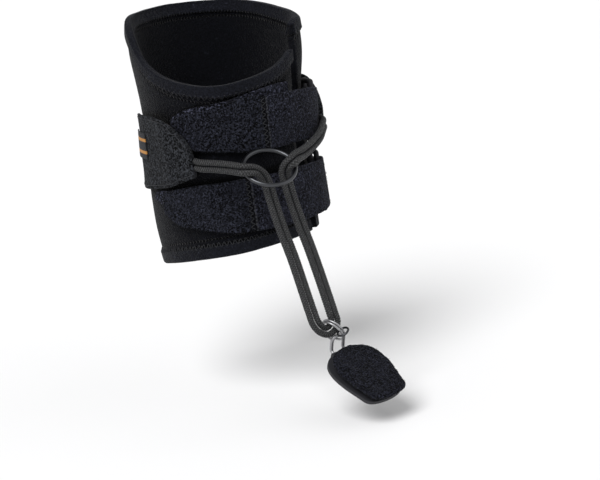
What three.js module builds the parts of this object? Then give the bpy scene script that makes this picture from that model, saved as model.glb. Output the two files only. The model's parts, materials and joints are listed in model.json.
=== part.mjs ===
// Foot drop brace: a padded cuff round the ankle, closed by two straps that fold back through
// rectangular rings, and two elastic cords that run from a tab on each side, through a steel ring
// at the front, down to a clip that sits under the laces of a shoe.
//
// Millimetres. Z is the axis of the leg, up. The toes point to -Y and the cuff opens at its front
// on the +X side. Angles are in degrees round the leg: 0 is the front, positive towards +X.

import * as THREE from 'three';

// Gap between pieces that touch
const CLEARANCE = 0.3;

// Cuff
const CUFF_WALL = 4;
const WAIST_RADIUS = 44;
const TOP_TAPER = 0.065;
const TOP_CURL_START = 48;
const TOP_CURL = 0.0026;
const BOTTOM_TAPER = 0.033;
const FRONT_TOP = 45;
const BACK_TOP = 86;
const FRONT_BOTTOM = -48;
const BACK_BOTTOM = -60;
const BACK_PANEL_EDGE = 42;
const FRONT_PANEL_EDGE = 24;
const PANEL_FLARE = 2.6;
const FLARE_START = 38;
const FLARE_END = 50;
const FLARE_ANGLE = 55;
const SIDE_BULGE = 3.4;
const SIDE_BULGE_ANGLE = -119;
const SIDE_BULGE_HALF = 62;

// Folded binding on both rims
const BINDING_THICKNESS = 1;
const BINDING_HEIGHT = 5.5;

// Straps
const STRAP_WIDTH = 29;
const STRAP_THICKNESS = 1.8;
const UNDER_THICKNESS = 1.4;
const UPPER_STRAP_HEIGHT = 17.3;
const LOWER_STRAP_HEIGHT = -24;
const UPPER_SEAM = -4;
const LOWER_SEAM = -20;
const UPPER_TIP = -66;
const LOWER_TIP = -84;
const UPPER_INNER_END = -22;
const LOWER_INNER_END = 2;
const UPPER_UNDER_START = -69;
const LOWER_UNDER_START = -97;

// Rectangular rings that the straps fold back through
const BUCKLE_ANGLE = 59.7;
const BUCKLE_BAR = 3;
const BUCKLE_SPREAD = 11;
const BUCKLE_BEVEL = 0.75;
const BUCKLE_MARGIN = 1;
const BUCKLE_TILT = 2.2;
const BUCKLE_CORNER = 2.5;

// Webbing loops that hold those rings
const WEBBING_THICKNESS = 1.3;
const WEBBING_WIDTH = 25;
const WEBBING_LENGTH = 32;
const WEBBING_SLOPE = 12;

// Side tabs that hold the cords
const TAB_LENGTH = 70;
const TAB_HEIGHT = 42;
const TAB_END_THICKNESS = 5.2;
const TAB_THICKNESS = 1.6;
const HOOK_THICKNESS = 0.8;
const HOOK_INSET = 1;
const LEFT_TAB_ANGLE = -52;
const RIGHT_TAB_ANGLE = 66;
const LEFT_TAB_CENTRE = 4;
const RIGHT_TAB_CENTRE = 10.5;
const BADGE_LENGTH = 20;
const BADGE_HEIGHT = 15;
const BADGE_THICKNESS = 0.8;
const BADGE_ALONG = 46;
const BADGE_RISE = 9;

// Elastic cords and the ring that gathers them
const CORD_DIAMETER = 3.3;
const CORD_SPACING = 3.85;
const RING_RADIUS = 14.3;
const RING_WIRE = 2.3;
const RING_PLACE = [-11.2, -62.5, -0.8];
const RING_LEAN = 33;
const RING_TURN = -11;

// Clip for the laces
const SPLIT_RING_RADIUS = 6.9;
const SPLIT_RING_WIRE = 1.25;
const SPLIT_RING_PITCH = 1.6;
const SPLIT_RING_TURNS = 1.85;
const SPLIT_RING_PLACE = [2.3, -83.7, -93.7];
const LINK_RADIUS = 3.2;
const LINK_WIRE = 1.2;
const LINK_TURN = 60;
const BAIL_WIRE = 2;
const BAIL_WIDTH = 8.5;
const BAIL_REACH = 3.5;
const BAIL_RISE = 9;
const PAD_WIDTH = 33;
const PAD_LENGTH = 43;
const PAD_THICKNESS = 2.4;
const PLATE_WIDTH = 34;
const PLATE_THICKNESS = 2;
const LACE_SPACE = 2.9;
const LUG_WIDTH = 13;
const LUG_LENGTH = 8;
const PAD_TOP = 1.7;
const PLATE_TOP = 4;
const LUG_SETBACK = 1.5;
const LUG_MIDDLE = -2.2;
const CLIP_PLACE = [7.3, -87.4, -105.5];
const CLIP_SLOPE = 30;
const CLIP_YAW = 7;

const DEGREE = Math.PI / 180;
const WRAP_RADIUS = 47;
const ROUND_CUTS = 42;
const LONGEST_STEP = 4.2;
const FOLD_CLEARANCE = 0.4;
const MM_PER_DEGREE = WRAP_RADIUS * DEGREE;

const NEOPRENE = { color: 0x24262b, roughness: 0.9, metalness: 0 };
const BINDING = { color: 0x1d1f23, roughness: 0.75, metalness: 0 };
const FUZZY_LOOP = { color: 0x1b1c22, roughness: 1, metalness: 0 };
const HOOK_TAPE = { color: 0x2a2d2e, roughness: 0.95, metalness: 0 };
const TAB_FABRIC = { color: 0x333538, roughness: 0.95, metalness: 0 };
const WEBBING = { color: 0x17181b, roughness: 0.8, metalness: 0 };
const PLASTIC = { color: 0x101113, roughness: 0.4, metalness: 0 };
const CORD = { color: 0x45484d, roughness: 0.6, metalness: 0 };
const STEEL = { color: 0x55565a, roughness: 0.25, metalness: 1 };
const BADGE = { color: 0x8f8a80, roughness: 0.7, metalness: 0 };

const group = new THREE.Group();

function addPiece(name, geometry, look, parent = group) {
  const mesh = new THREE.Mesh(geometry, new THREE.MeshStandardMaterial(look));
  mesh.name = name;
  parent.add(mesh);
  return mesh;
}

// Smooth curve through a table of [place, value] rows
function smoothTable(rows) {
  const places = rows.map((row) => row[0]);
  const values = rows.map((row) => row[1]);
  const curve = new THREE.CubicInterpolant(places, values, 1);
  return (place) => curve.evaluate(place)[0];
}

function between(value, start, end) {
  return THREE.MathUtils.smoothstep(value, start, end);
}

// Angle in the range from the back panel's edge, once round the leg, to its edge again
function roundFromPanelEdge(angle) {
  return THREE.MathUtils.euclideanModulo(angle - BACK_PANEL_EDGE, 360);
}

// Cuff's left side, where it isn't round: [share of the height, share of the bulge]
const bulgeShare = smoothTable([
  [0, -0.1], [0.035, 0.09], [0.1, 0.56], [0.17, 0.91], [0.27, 1], [0.38, 0.97], [0.45, 0.71],
  [0.51, 0.32], [0.58, 0.03], [0.67, 0], [0.75, 0.24], [0.82, 0.38], [0.9, 0.41], [1, 0.26],
]);

function heightShare(height) {
  return THREE.MathUtils.clamp((height - BACK_BOTTOM) / (BACK_TOP - BACK_BOTTOM), 0, 1);
}

function sideShare(angle) {
  const away = Math.min(Math.abs(signedAngle(angle - SIDE_BULGE_ANGLE)) / SIDE_BULGE_HALF, 1);
  return Math.cos((away * Math.PI) / 2) ** 2;
}

// Outer radius of the cuff
function cuffRadius(angle, height) {
  const curl = TOP_CURL * Math.max(height - TOP_CURL_START, 0) ** 2;
  const taper = height > 0 ? TOP_TAPER * height - curl : -BOTTOM_TAPER * height;
  const flareAlong = 1 - between(roundFromPanelEdge(angle), FLARE_ANGLE / 2, FLARE_ANGLE);
  const flareUp = THREE.MathUtils.clamp((height - FLARE_START) / (FLARE_END - FLARE_START), 0, 1);
  const side = SIDE_BULGE * sideShare(angle) * bulgeShare(heightShare(height));
  return WAIST_RADIUS + taper + PANEL_FLARE * flareAlong * flareUp + side;
}

// Place that is a given length round the cuff, at a given height off its outer face
function wrap(along, off, height) {
  const angle = along / MM_PER_DEGREE;
  const radius = cuffRadius(angle, height) + off;
  const turn = angle * DEGREE;
  return new THREE.Vector3(radius * Math.sin(turn), -radius * Math.cos(turn), height);
}

// Box cut into a grid and bent by a rule: the shares along, up and out give each point's place
function bentBox(alongCuts, upCuts, rule) {
  const geometry = new THREE.BoxGeometry(1, 1, 1, alongCuts, upCuts, 1);
  const places = geometry.attributes.position;
  for (let i = 0; i < places.count; i += 1) {
    const point = rule(places.getX(i) + 0.5, places.getY(i) + 0.5, places.getZ(i) + 0.5);
    places.setXYZ(i, point.x, point.y, point.z);
  }
  return geometry;
}

// Band that follows a path of [along, off] points round the cuff, with its own edges and thickness
function band(path, thickness, bottom, top, upCuts = 3) {
  const thicknessAt = typeof thickness === 'function' ? thickness : () => thickness;
  const normals = path.map((point, i) => {
    const before = path[Math.max(i - 1, 0)];
    const after = path[Math.min(i + 1, path.length - 1)];
    const back = new THREE.Vector2(point[0] - before[0], point[1] - before[1]).normalize();
    const ahead = new THREE.Vector2(after[0] - point[0], after[1] - point[1]).normalize();
    const mean = back.clone().add(ahead).normalize();
    const stretch = i === 0 || i === path.length - 1 ? 1 : 1 / Math.max(mean.dot(ahead), 0.5);
    return new THREE.Vector2(-mean.y, mean.x).multiplyScalar(stretch);
  });
  const cuts = path.length - 1;
  return bentBox(cuts, upCuts, (along, up, out) => {
    const i = Math.round(along * cuts);
    const shift = (out - 0.5) * thicknessAt(path[i][0]);
    const place = path[i][0] + normals[i].x * shift;
    const off = path[i][1] + normals[i].y * shift;
    const height = THREE.MathUtils.lerp(bottom(path[i][0], i), top(path[i][0], i), up);
    return wrap(place, off, height);
  });
}

// Evenly spaced numbers from start to end
function steps(start, end, longest) {
  const count = Math.max(1, Math.ceil(Math.abs(end - start) / longest));
  return Array.from({ length: count + 1 }, (_, i) => THREE.MathUtils.lerp(start, end, i / count));
}

// Round wire or cord along a curve
function tube(curve, diameter, sides, cuts) {
  const section = new THREE.Shape();
  for (let i = 0; i < sides; i += 1) {
    const turn = (2 * Math.PI * i) / sides;
    const x = (diameter / 2) * Math.cos(turn);
    const y = (diameter / 2) * Math.sin(turn);
    if (i === 0) section.moveTo(x, y);
    else section.lineTo(x, y);
  }
  section.closePath();
  return new THREE.ExtrudeGeometry(section, { extrudePath: curve, steps: cuts });
}

// Cuff: rims as [angle, share of the rise from front to back]
const topShare = smoothTable([
  [-180, 1], [-150, 0.98], [-119, 0.92], [-100, 0.7], [-91, 0.48], [-81, 0.31], [-69, 0.18],
  [-58, 0.1], [-48, 0.05], [-38, 0.01], [-29, 0], [-16, 0.02], [-2, 0.06], [11, 0.11],
  [21, 0.18], [34, 0.3], [38, 0.4], [42, 0.62], [61, 0.66], [90, 0.78], [130, 0.93], [180, 1],
]);
const bottomShare = smoothTable([
  [-180, 1], [-115, 0.9], [-78, 0.5], [-56, 0.31], [-38, 0.21], [-22, 0.12], [-3, 0.02],
  [16, 0], [40, 0.03], [70, 0.2], [120, 0.8], [180, 1],
]);

function signedAngle(angle) {
  return THREE.MathUtils.euclideanModulo(angle + 180, 360) - 180;
}

function topRim(angle) {
  return FRONT_TOP + topShare(signedAngle(angle)) * (BACK_TOP - FRONT_TOP);
}

function bottomRim(angle) {
  return FRONT_BOTTOM + bottomShare(signedAngle(angle)) * (BACK_BOTTOM - FRONT_BOTTOM);
}

// Front panel's end: [share of the height, share of the way back to the other panel's edge]
const frontEdgeShare = smoothTable([
  [0, 0.5], [0.15, 0.42], [0.4, 0.2], [0.7, 0.02], [0.85, 0.02], [0.92, 0.2], [1, 0.55],
]);

function frontPanelEdge(up) {
  return FRONT_PANEL_EDGE + frontEdgeShare(up) * (BACK_PANEL_EDGE - FRONT_PANEL_EDGE);
}

function cuffPoint(share, up, off, inset = 0) {
  const start = BACK_PANEL_EDGE - 360 + inset;
  const angle = THREE.MathUtils.lerp(start, frontPanelEdge(up) - inset, share);
  const low = bottomRim(angle) + BINDING_THICKNESS + CLEARANCE;
  const high = topRim(angle) - BINDING_THICKNESS - CLEARANCE;
  return { angle, height: THREE.MathUtils.lerp(low, high, up), off };
}

function addCuff() {
  const geometry = bentBox(ROUND_CUTS, 9, (share, up, out) => {
    const point = cuffPoint(share, up, (out - 1) * CUFF_WALL);
    return wrap(point.angle * MM_PER_DEGREE, point.off, point.height);
  });
  addPiece('cuff', geometry, NEOPRENE);
}

// Binding: a folded strip over a rim, its section given as [outer off, outer rise, inner off, inner rise]
function addBinding(name, up) {
  const side = up === 1 ? 1 : -1;
  const outside = BINDING_THICKNESS + CLEARANCE;
  const section = [
    [outside, -BINDING_HEIGHT, CLEARANCE, -BINDING_HEIGHT],
    [outside, outside, CLEARANCE, CLEARANCE],
    [-CUFF_WALL - outside, outside, -CUFF_WALL - CLEARANCE, CLEARANCE],
    [-CUFF_WALL - outside, -BINDING_HEIGHT, -CUFF_WALL - CLEARANCE, -BINDING_HEIGHT],
  ];
  if (up === 0) section.reverse();
  const geometry = bentBox(ROUND_CUTS, 3, (share, fold, out) => {
    const [outerOff, outerRise, innerOff, innerRise] = section[Math.round(fold * 3)];
    const point = cuffPoint(share, up, 0);
    const rise = out > 0.5 ? outerRise : innerRise;
    const off = out > 0.5 ? outerOff : innerOff;
    return wrap(point.angle * MM_PER_DEGREE, off, point.height + side * rise);
  });
  addPiece(name, geometry, BINDING);
}

// Heights of the layers off the cuff's outer face
const UNDER_OFF = CLEARANCE + UNDER_THICKNESS / 2;
const INNER_OFF = UNDER_THICKNESS + 2 * CLEARANCE + STRAP_THICKNESS / 2;
const OUTER_OFF = INNER_OFF + STRAP_THICKNESS + CLEARANCE;
const FOLD_RADIUS = (BUCKLE_BAR + STRAP_THICKNESS) / 2 + FOLD_CLEARANCE;
const BAR_OFF = INNER_OFF + FOLD_RADIUS;
const BAR_ALONG = BUCKLE_ANGLE * MM_PER_DEGREE;
const REAR_BAR_ALONG = BAR_ALONG + BUCKLE_SPREAD;
const REAR_BAR_OFF = BAR_OFF - BUCKLE_TILT;

// Half circle of path points round a bar
function foldPoints(along, off, radius, startTurn, endTurn) {
  return steps(startTurn, endTurn, 30).map((turn) => [
    along + radius * Math.cos(turn * DEGREE),
    off + radius * Math.sin(turn * DEGREE),
  ]);
}

// Edges of a strap: [angle, height from the strap's middle, as a share of its width]
const UPPER_STRAP_EDGES = {
  top: smoothTable([
    [-66, 0.3], [-64, 0.39], [-61, 0.44], [-57, 0.47], [-46, 0.51], [-38, 0.55], [-26, 0.63],
    [-17, 0.68], [-8, 0.68], [-2, 0.65], [13, 0.63], [45, 0.55], [57, 0.48], [66, 0.46],
  ]),
  bottom: smoothTable([
    [-66, 0.06], [-64, -0.02], [-60, -0.12], [-51, -0.23], [-38, -0.28], [-25, -0.33],
    [-15, -0.355], [-2, -0.38], [18, -0.39], [40, -0.43], [57, -0.48], [66, -0.48],
  ]),
};
const LOWER_STRAP_EDGES = {
  top: smoothTable([
    [-84, 0.2], [-83, 0.32], [-80, 0.4], [-77, 0.43], [-68, 0.47], [-53, 0.53], [-40, 0.54],
    [-20, 0.555], [24, 0.55], [49, 0.5], [57, 0.49], [66, 0.49],
  ]),
  bottom: smoothTable([
    [-84, 0], [-82.5, -0.08], [-79, -0.13], [-71, -0.26], [-61, -0.32], [-47, -0.38],
    [-32, -0.46], [-20, -0.48], [24, -0.5], [57, -0.5], [66, -0.5],
  ]),
};

function strapEdge(curve, middle, trim = 0) {
  return (along) => middle + STRAP_WIDTH * curve(along / MM_PER_DEGREE) + trim;
}

// Path of a strap's outer run: low past the hidden end of its inner run, high over the ring
function outerRunOff(along, innerEnd) {
  const overInner = between(along, innerEnd - 10, innerEnd - 1);
  const overBar = between(along, 16, BAR_ALONG - 2);
  const flat = THREE.MathUtils.lerp(INNER_OFF, OUTER_OFF, overInner);
  return THREE.MathUtils.lerp(flat, BAR_OFF + FOLD_RADIUS, overBar);
}

function addStrap(name, middle, edges, seam, tip, innerEndAngle) {
  const innerEnd = innerEndAngle * MM_PER_DEGREE;
  const seamAlong = seam * MM_PER_DEGREE;
  const foldStart = BAR_ALONG - BUCKLE_BAR / 2;
  const outerPoint = (along) => [along, outerRunOff(along, innerEnd)];
  const outer = steps(seamAlong, foldStart, LONGEST_STEP).map(outerPoint);
  const inner = steps(foldStart, innerEnd, LONGEST_STEP).map((along) => [along, INNER_OFF]);
  const path = [...outer, ...foldPoints(BAR_ALONG, BAR_OFF, FOLD_RADIUS, 90, -90), ...inner];
  const isInner = (i) => i >= outer.length + 3;
  const bottom = (along, i) => strapEdge(edges.bottom, middle, isInner(i) ? 1 : 0)(along);
  const top = (along, i) => strapEdge(edges.top, middle, isInner(i) ? -1 : 0)(along);
  addPiece(name, band(path, STRAP_THICKNESS, bottom, top), FUZZY_LOOP);

  const tipStart = tip * MM_PER_DEGREE;
  const tipPath = steps(tipStart, seamAlong - CLEARANCE, LONGEST_STEP).map(outerPoint);
  tipPath.splice(1, 0, [tipStart + 0.9, INNER_OFF], [tipStart + 2.2, INNER_OFF]);
  const tipBottom = strapEdge(edges.bottom, middle);
  const tipTop = strapEdge(edges.top, middle);
  addPiece(`${name}_tip`, band(tipPath, STRAP_THICKNESS, tipBottom, tipTop), HOOK_TAPE);
}

// Fuzzy layer sewn to the cuff under each strap: [angle, height from the strap's middle, as a
// share of the strap's width]
const UPPER_UNDER_TOP = smoothTable([
  [-69, 0.266], [-68, 0.383], [-65, 0.455], [-56, 0.566], [-46, 0.617], [-38, 0.624], [-30, 0.645],
  [-23, 0.679], [-16, 0.721], [-2, 0.776], [9.5, 0.817], [23, 0.79],
]);
const UPPER_UNDER_BOTTOM = smoothTable([
  [-69, 0.024], [-66, -0.114], [-58, -0.2], [-38, -0.252], [23, -0.321],
]);
const LOWER_UNDER_TOP = smoothTable([
  [-97, 0.31], [-94, 0.369], [-88, 0.393], [-60, 0.466], [-20, 0.5], [23, 0.5],
]);
const LOWER_UNDER_BOTTOM = smoothTable([
  [-97, 0.207], [-92, 0.152], [-84, 0.069], [-70, -0.207], [-50, -0.328], [23, -0.431],
]);

const UPPER_UNDER_EDGES = { top: UPPER_UNDER_TOP, bottom: UPPER_UNDER_BOTTOM };
const LOWER_UNDER_EDGES = { top: LOWER_UNDER_TOP, bottom: LOWER_UNDER_BOTTOM };

function addUnderLayer(name, middle, startAngle, edges) {
  const start = startAngle * MM_PER_DEGREE;
  const end = (FRONT_PANEL_EDGE - 1) * MM_PER_DEGREE;
  const path = steps(start, end, LONGEST_STEP).map((along) => [along, UNDER_OFF]);
  path.splice(1, 0, [start + 0.8, UNDER_OFF], [start + 2.2, UNDER_OFF]);
  const layer = band(path, UNDER_THICKNESS, strapEdge(edges.bottom, middle), strapEdge(edges.top, middle), 2);
  addPiece(name, layer, FUZZY_LOOP);
}

// Rectangular ring: two bars along the leg and two rails
function addBuckle(name, middle) {
  const halfLength = STRAP_WIDTH / 2 + BUCKLE_MARGIN + BUCKLE_BAR;
  const left = BAR_ALONG - BUCKLE_BAR / 2;
  const right = REAR_BAR_ALONG + BUCKLE_BAR / 2;
  const corner = BUCKLE_CORNER;
  const outline = new THREE.Shape();
  outline.moveTo(left + corner, -halfLength);
  outline.lineTo(right - corner, -halfLength);
  outline.quadraticCurveTo(right, -halfLength, right, -halfLength + corner);
  outline.lineTo(right, halfLength - corner);
  outline.quadraticCurveTo(right, halfLength, right - corner, halfLength);
  outline.lineTo(left + corner, halfLength);
  outline.quadraticCurveTo(left, halfLength, left, halfLength - corner);
  outline.lineTo(left, -halfLength + corner);
  outline.quadraticCurveTo(left, -halfLength, left + corner, -halfLength);
  const hole = new THREE.Path();
  hole.moveTo(left + BUCKLE_BAR, -halfLength + BUCKLE_BAR);
  hole.lineTo(left + BUCKLE_BAR, halfLength - BUCKLE_BAR);
  hole.lineTo(right - BUCKLE_BAR, halfLength - BUCKLE_BAR);
  hole.lineTo(right - BUCKLE_BAR, -halfLength + BUCKLE_BAR);
  hole.closePath();
  outline.holes.push(hole);
  const geometry = new THREE.ExtrudeGeometry(outline, {
    depth: BUCKLE_BAR - 2 * BUCKLE_BEVEL,
    bevelThickness: BUCKLE_BEVEL,
    bevelSize: BUCKLE_BEVEL,
    bevelOffset: -BUCKLE_BEVEL,
    bevelSegments: 1,
    curveSegments: 2,
  });
  const places = geometry.attributes.position;
  for (let i = 0; i < places.count; i += 1) {
    const tilt = (BUCKLE_TILT * (places.getX(i) - BAR_ALONG)) / BUCKLE_SPREAD;
    const off = BAR_OFF - BUCKLE_BAR / 2 + BUCKLE_BEVEL + places.getZ(i) - tilt;
    const point = wrap(places.getX(i), off, middle + places.getY(i));
    places.setXYZ(i, point.x, point.y, point.z);
  }
  addPiece(name, geometry, PLASTIC);
}

// Webbing loop: sewn to the back panel, round the ring's rear bar and back over itself
function addWebbingLoop(name, middle) {
  const radius = (BUCKLE_BAR + WEBBING_THICKNESS) / 2 + FOLD_CLEARANCE;
  const rear = REAR_BAR_ALONG + WEBBING_LENGTH;
  const lowOff = CLEARANCE + WEBBING_THICKNESS / 2;
  const highOff = lowOff + WEBBING_THICKNESS + CLEARANCE;
  const run = (along, off, loopOff) => {
    const nearBar = 1 - between(along, REAR_BAR_ALONG, REAR_BAR_ALONG + WEBBING_SLOPE);
    return [along, THREE.MathUtils.lerp(off, loopOff, nearBar)];
  };
  const runs = steps(REAR_BAR_ALONG + BUCKLE_BAR / 2, rear, LONGEST_STEP);
  const over = runs.map((along) => run(along, highOff, REAR_BAR_OFF + radius));
  const under = [...runs].reverse().map((along) => run(along, lowOff, REAR_BAR_OFF - radius));
  const path = [...under, ...foldPoints(REAR_BAR_ALONG, REAR_BAR_OFF, radius, 270, 90), ...over];
  const bottom = () => middle - WEBBING_WIDTH / 2;
  const top = () => middle + WEBBING_WIDTH / 2;
  addPiece(name, band(path, WEBBING_THICKNESS, bottom, top, 2), WEBBING);
}

// Tab outline: [share of the length from the cord's end, share of the height over and under the cord]
const TAB_TOP = smoothTable([
  [0, 0.175], [0.02, 0.24], [0.057, 0.37], [0.114, 0.47], [0.176, 0.567], [0.234, 0.614],
  [0.31, 0.632], [0.47, 0.635], [0.74, 0.62], [0.88, 0.56], [0.96, 0.42], [1, 0.26],
]);
const TAB_BOTTOM = smoothTable([
  [0, -0.175], [0.057, -0.2], [0.114, -0.235], [0.176, -0.27], [0.234, -0.305], [0.31, -0.33],
  [0.47, -0.362], [0.74, -0.415], [0.88, -0.39], [0.96, -0.28], [1, -0.14],
]);
const TAB_CUTS = [
  0, 0.02, 0.057, 0.114, 0.176, 0.234, 0.31, 0.38, 0.46, 0.55, 0.64, 0.74, 0.82, 0.88, 0.93, 0.97, 1,
];
const OVER_STRAP = INNER_OFF + STRAP_THICKNESS / 2 + CLEARANCE;
const OVER_BUCKLE = REAR_BAR_OFF + (BUCKLE_BAR + 3 * WEBBING_THICKNESS) / 2 + 3 * CLEARANCE;
const OVER_WEBBING = 2 * WEBBING_THICKNESS + 3 * CLEARANCE;

// Underside of each tab off the cuff, from the cord's end backwards
function leftTabUnder(share) {
  return THREE.MathUtils.lerp(OVER_STRAP, 2 * CLEARANCE, between(share, 0.2, 0.42));
}

function rightTabUnder(share) {
  return THREE.MathUtils.lerp(OVER_BUCKLE, OVER_WEBBING, between(share, 0.12, 0.4));
}

function addTab(side, frontAngle, middle, under) {
  const toRear = side === 'left' ? -1 : 1;
  const front = frontAngle * MM_PER_DEGREE;
  const shareAt = (along) => (along - front) / (toRear * TAB_LENGTH);
  const thickness = (along) => {
    const bulge = 1 - between(shareAt(along), 0, 0.18);
    return TAB_THICKNESS + (TAB_END_THICKNESS - HOOK_THICKNESS - CLEARANCE - TAB_THICKNESS) * bulge;
  };
  const cuts = side === 'left' ? [...TAB_CUTS].reverse() : TAB_CUTS;
  const lift = HOOK_THICKNESS + CLEARANCE;
  const path = cuts.map((share) => {
    const along = front + toRear * share * TAB_LENGTH;
    return [along, under(share) + lift + thickness(along) / 2];
  });
  const edge = (curve, trim) => (along) => middle + TAB_HEIGHT * curve(shareAt(along)) + trim;
  addPiece(`${side}_tab`, band(path, thickness, edge(TAB_BOTTOM, 0), edge(TAB_TOP, 0), 4), TAB_FABRIC);

  const hookPath = cuts.map((share) => {
    const inset = THREE.MathUtils.clamp(share * TAB_LENGTH, HOOK_INSET, TAB_LENGTH - HOOK_INSET);
    return [front + toRear * inset, under(inset / TAB_LENGTH) + HOOK_THICKNESS / 2];
  });
  const hook = band(hookPath, HOOK_THICKNESS, edge(TAB_BOTTOM, HOOK_INSET), edge(TAB_TOP, -HOOK_INSET), 4);
  addPiece(`${side}_tab_hook`, hook, HOOK_TAPE);
}

function addBadge() {
  const front = LEFT_TAB_ANGLE * MM_PER_DEGREE;
  const middle = front - BADGE_ALONG;
  const height = LEFT_TAB_CENTRE + BADGE_RISE;
  const off = leftTabUnder(1) + HOOK_THICKNESS + TAB_THICKNESS + 2 * CLEARANCE + BADGE_THICKNESS / 2;
  const half = BADGE_LENGTH / 2;
  const path = steps(middle - half, middle + half, LONGEST_STEP).map((along) => [along, off]);
  const bottom = () => height - BADGE_HEIGHT / 2;
  const top = () => height + BADGE_HEIGHT / 2;
  addPiece('badge', band(path, BADGE_THICKNESS, bottom, top, 1), BADGE);
}

// Route of the pair of cords: [x, y, z of its middle, then x, y, z towards the inner cord]
const CORD_ROUTE = [
  [-38.6, -35.8, 3.4, 0, 0, 1],
  [-34.6, -44.0, 2.9, 0, 0, 1],
  [-31, -53.4, 2.3, 0.1, 0.1, 1],
  [-28, -62.9, 1.4, 0.45, 0.3, 0.84],
  [-21.6, -65, -0.1, 0.5, 0.5, 0.7],
  [-17, -64.4, -4.4, 0.85, 0.1, 0.5],
  [-15.2, -65.2, -10.3, 1, 0, 0.1],
  [-14.6, -66.7, -18, 1, 0, 0],
  [-12.9, -69.4, -33, 1, 0, 0],
  [-10.3, -73.7, -52, 1, 0, 0],
  [-9.1, -79, -71, 1, 0, 0],
  [-8.7, -82.3, -81, 1, 0, 0.1],
  [-8, -83.6, -86.5, 0.95, 0, 0.3],
  [-5.6, -84, -90.6, 0.7, 0.2, 0.7],
  [-1.9, -84.2, -93, 0.1, 0.4, 0.95],
  [1.6, -84.2, -92.3, -0.5, 0.43, 0.75],
  [4.1, -84, -88.8, -0.95, 0.2, 0.3],
  [3.9, -83.2, -84.5, -1, 0, 0],
  [3.2, -79.7, -72, -1, 0, 0],
  [1.3, -74, -50, -1, 0, 0],
  [-0.9, -69.8, -33, -1, 0, 0],
  [-2.4, -66.9, -20, -1, 0, 0],
  [-3.3, -65.6, -10.5, -1, 0.1, 0.1],
  [-4, -66, -5, -0.9, 0.25, 0.3],
  [-3.2, -68.2, -1, -0.7, 0.6, 0.4],
  [-0.4, -69.5, 1.2, -0.5, 0.6, 0.6],
  [4.3, -66.7, 2.3, -0.35, 0.4, 0.85],
  [12.2, -60.4, 2.1, -0.1, 0.1, 1],
  [25.8, -50.2, 3.2, 0, 0, 1],
  [35, -44.4, 6, 0, 0, 1],
  [42.4, -37.2, 8.9, 0, 0, 1],
  [47.5, -30.8, 10, 0, 0, 1],
];

function addCords() {
  const leftOff = OVER_STRAP + TAB_END_THICKNESS / 2;
  const rightOff = OVER_BUCKLE + TAB_END_THICKNESS / 2;
  const gap = 2 * CLEARANCE;
  const leftEnd = wrap(LEFT_TAB_ANGLE * MM_PER_DEGREE + gap, leftOff, LEFT_TAB_CENTRE);
  const rightEnd = wrap(RIGHT_TAB_ANGLE * MM_PER_DEGREE - gap, rightOff, RIGHT_TAB_CENTRE);
  const route = [
    [...leftEnd.toArray(), 0, 0, 1],
    ...CORD_ROUTE,
    [...rightEnd.toArray(), 0, 0, 1],
  ];
  for (const [name, side] of [['inner_cord', 1], ['outer_cord', -1]]) {
    const points = route.map(([x, y, z, sideX, sideY, sideZ]) => {
      const offset = new THREE.Vector3(sideX, sideY, sideZ).setLength((side * CORD_SPACING) / 2);
      return new THREE.Vector3(x, y, z).add(offset);
    });
    const curve = new THREE.CatmullRomCurve3(points, false, 'centripetal');
    addPiece(name, tube(curve, CORD_DIAMETER, 8, 72), CORD);
  }
}

function addGatheringRing() {
  const ring = new THREE.TorusGeometry(RING_RADIUS, RING_WIRE / 2, 8, 32);
  const mesh = addPiece('gathering_ring', ring, STEEL);
  mesh.rotation.set(RING_LEAN * DEGREE, 0, RING_TURN * DEGREE, 'ZYX');
  mesh.position.set(...RING_PLACE);
}

// Wire wound for nearly two turns
class Coil extends THREE.Curve {
  constructor(radius, pitch, turns) {
    super();
    Object.assign(this, { radius, pitch, turns });
  }

  getPoint(share, target = new THREE.Vector3()) {
    const turn = 2 * Math.PI * this.turns * share;
    const rise = this.pitch * this.turns * (share - 0.5);
    return target.set(this.radius * Math.cos(turn), this.radius * Math.sin(turn), rise);
  }
}

// Directions of the split ring's long look: down the pull, and towards the toes
const RING_DOWN = new THREE.Vector3(0.5, -0.43, -0.75).normalize();
const RING_OUT = new THREE.Vector3(-0.05, -0.88, 0.47).projectOnPlane(RING_DOWN).normalize();
const RING_AXIS = new THREE.Vector3().crossVectors(RING_DOWN, RING_OUT);

function addSplitRing() {
  const coil = new Coil(SPLIT_RING_RADIUS, SPLIT_RING_PITCH, SPLIT_RING_TURNS);
  const mesh = addPiece('split_ring', tube(coil, SPLIT_RING_WIRE, 6, 44), STEEL);
  mesh.quaternion.setFromRotationMatrix(new THREE.Matrix4().makeBasis(RING_DOWN, RING_OUT, RING_AXIS));
  mesh.position.set(...SPLIT_RING_PLACE);
}

// Small ring threaded on the split ring, square to its wire
function addLink() {
  const link = new THREE.TorusGeometry(LINK_RADIUS, LINK_WIRE / 2, 6, 16);
  const mesh = addPiece('link_ring', link, STEEL);
  const turn = LINK_TURN * DEGREE;
  const out = RING_DOWN.clone().multiplyScalar(Math.cos(turn)).addScaledVector(RING_OUT, Math.sin(turn));
  const along = RING_DOWN.clone().multiplyScalar(-Math.sin(turn)).addScaledVector(RING_OUT, Math.cos(turn));
  mesh.quaternion.setFromUnitVectors(new THREE.Vector3(0, 0, 1), along);
  const hang = SPLIT_RING_RADIUS + LINK_RADIUS - (SPLIT_RING_WIRE + LINK_WIRE) / 2 - 3 * CLEARANCE;
  mesh.position.set(...SPLIT_RING_PLACE).addScaledVector(out, hang);
}

// Clip: plate, lug and pad lie in their own frame, X across and Y up the slope
const clip = new THREE.Group();
clip.position.set(...CLIP_PLACE);
clip.rotation.set(CLIP_SLOPE * DEGREE, 0, CLIP_YAW * DEGREE, 'ZYX');
group.add(clip);

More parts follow.
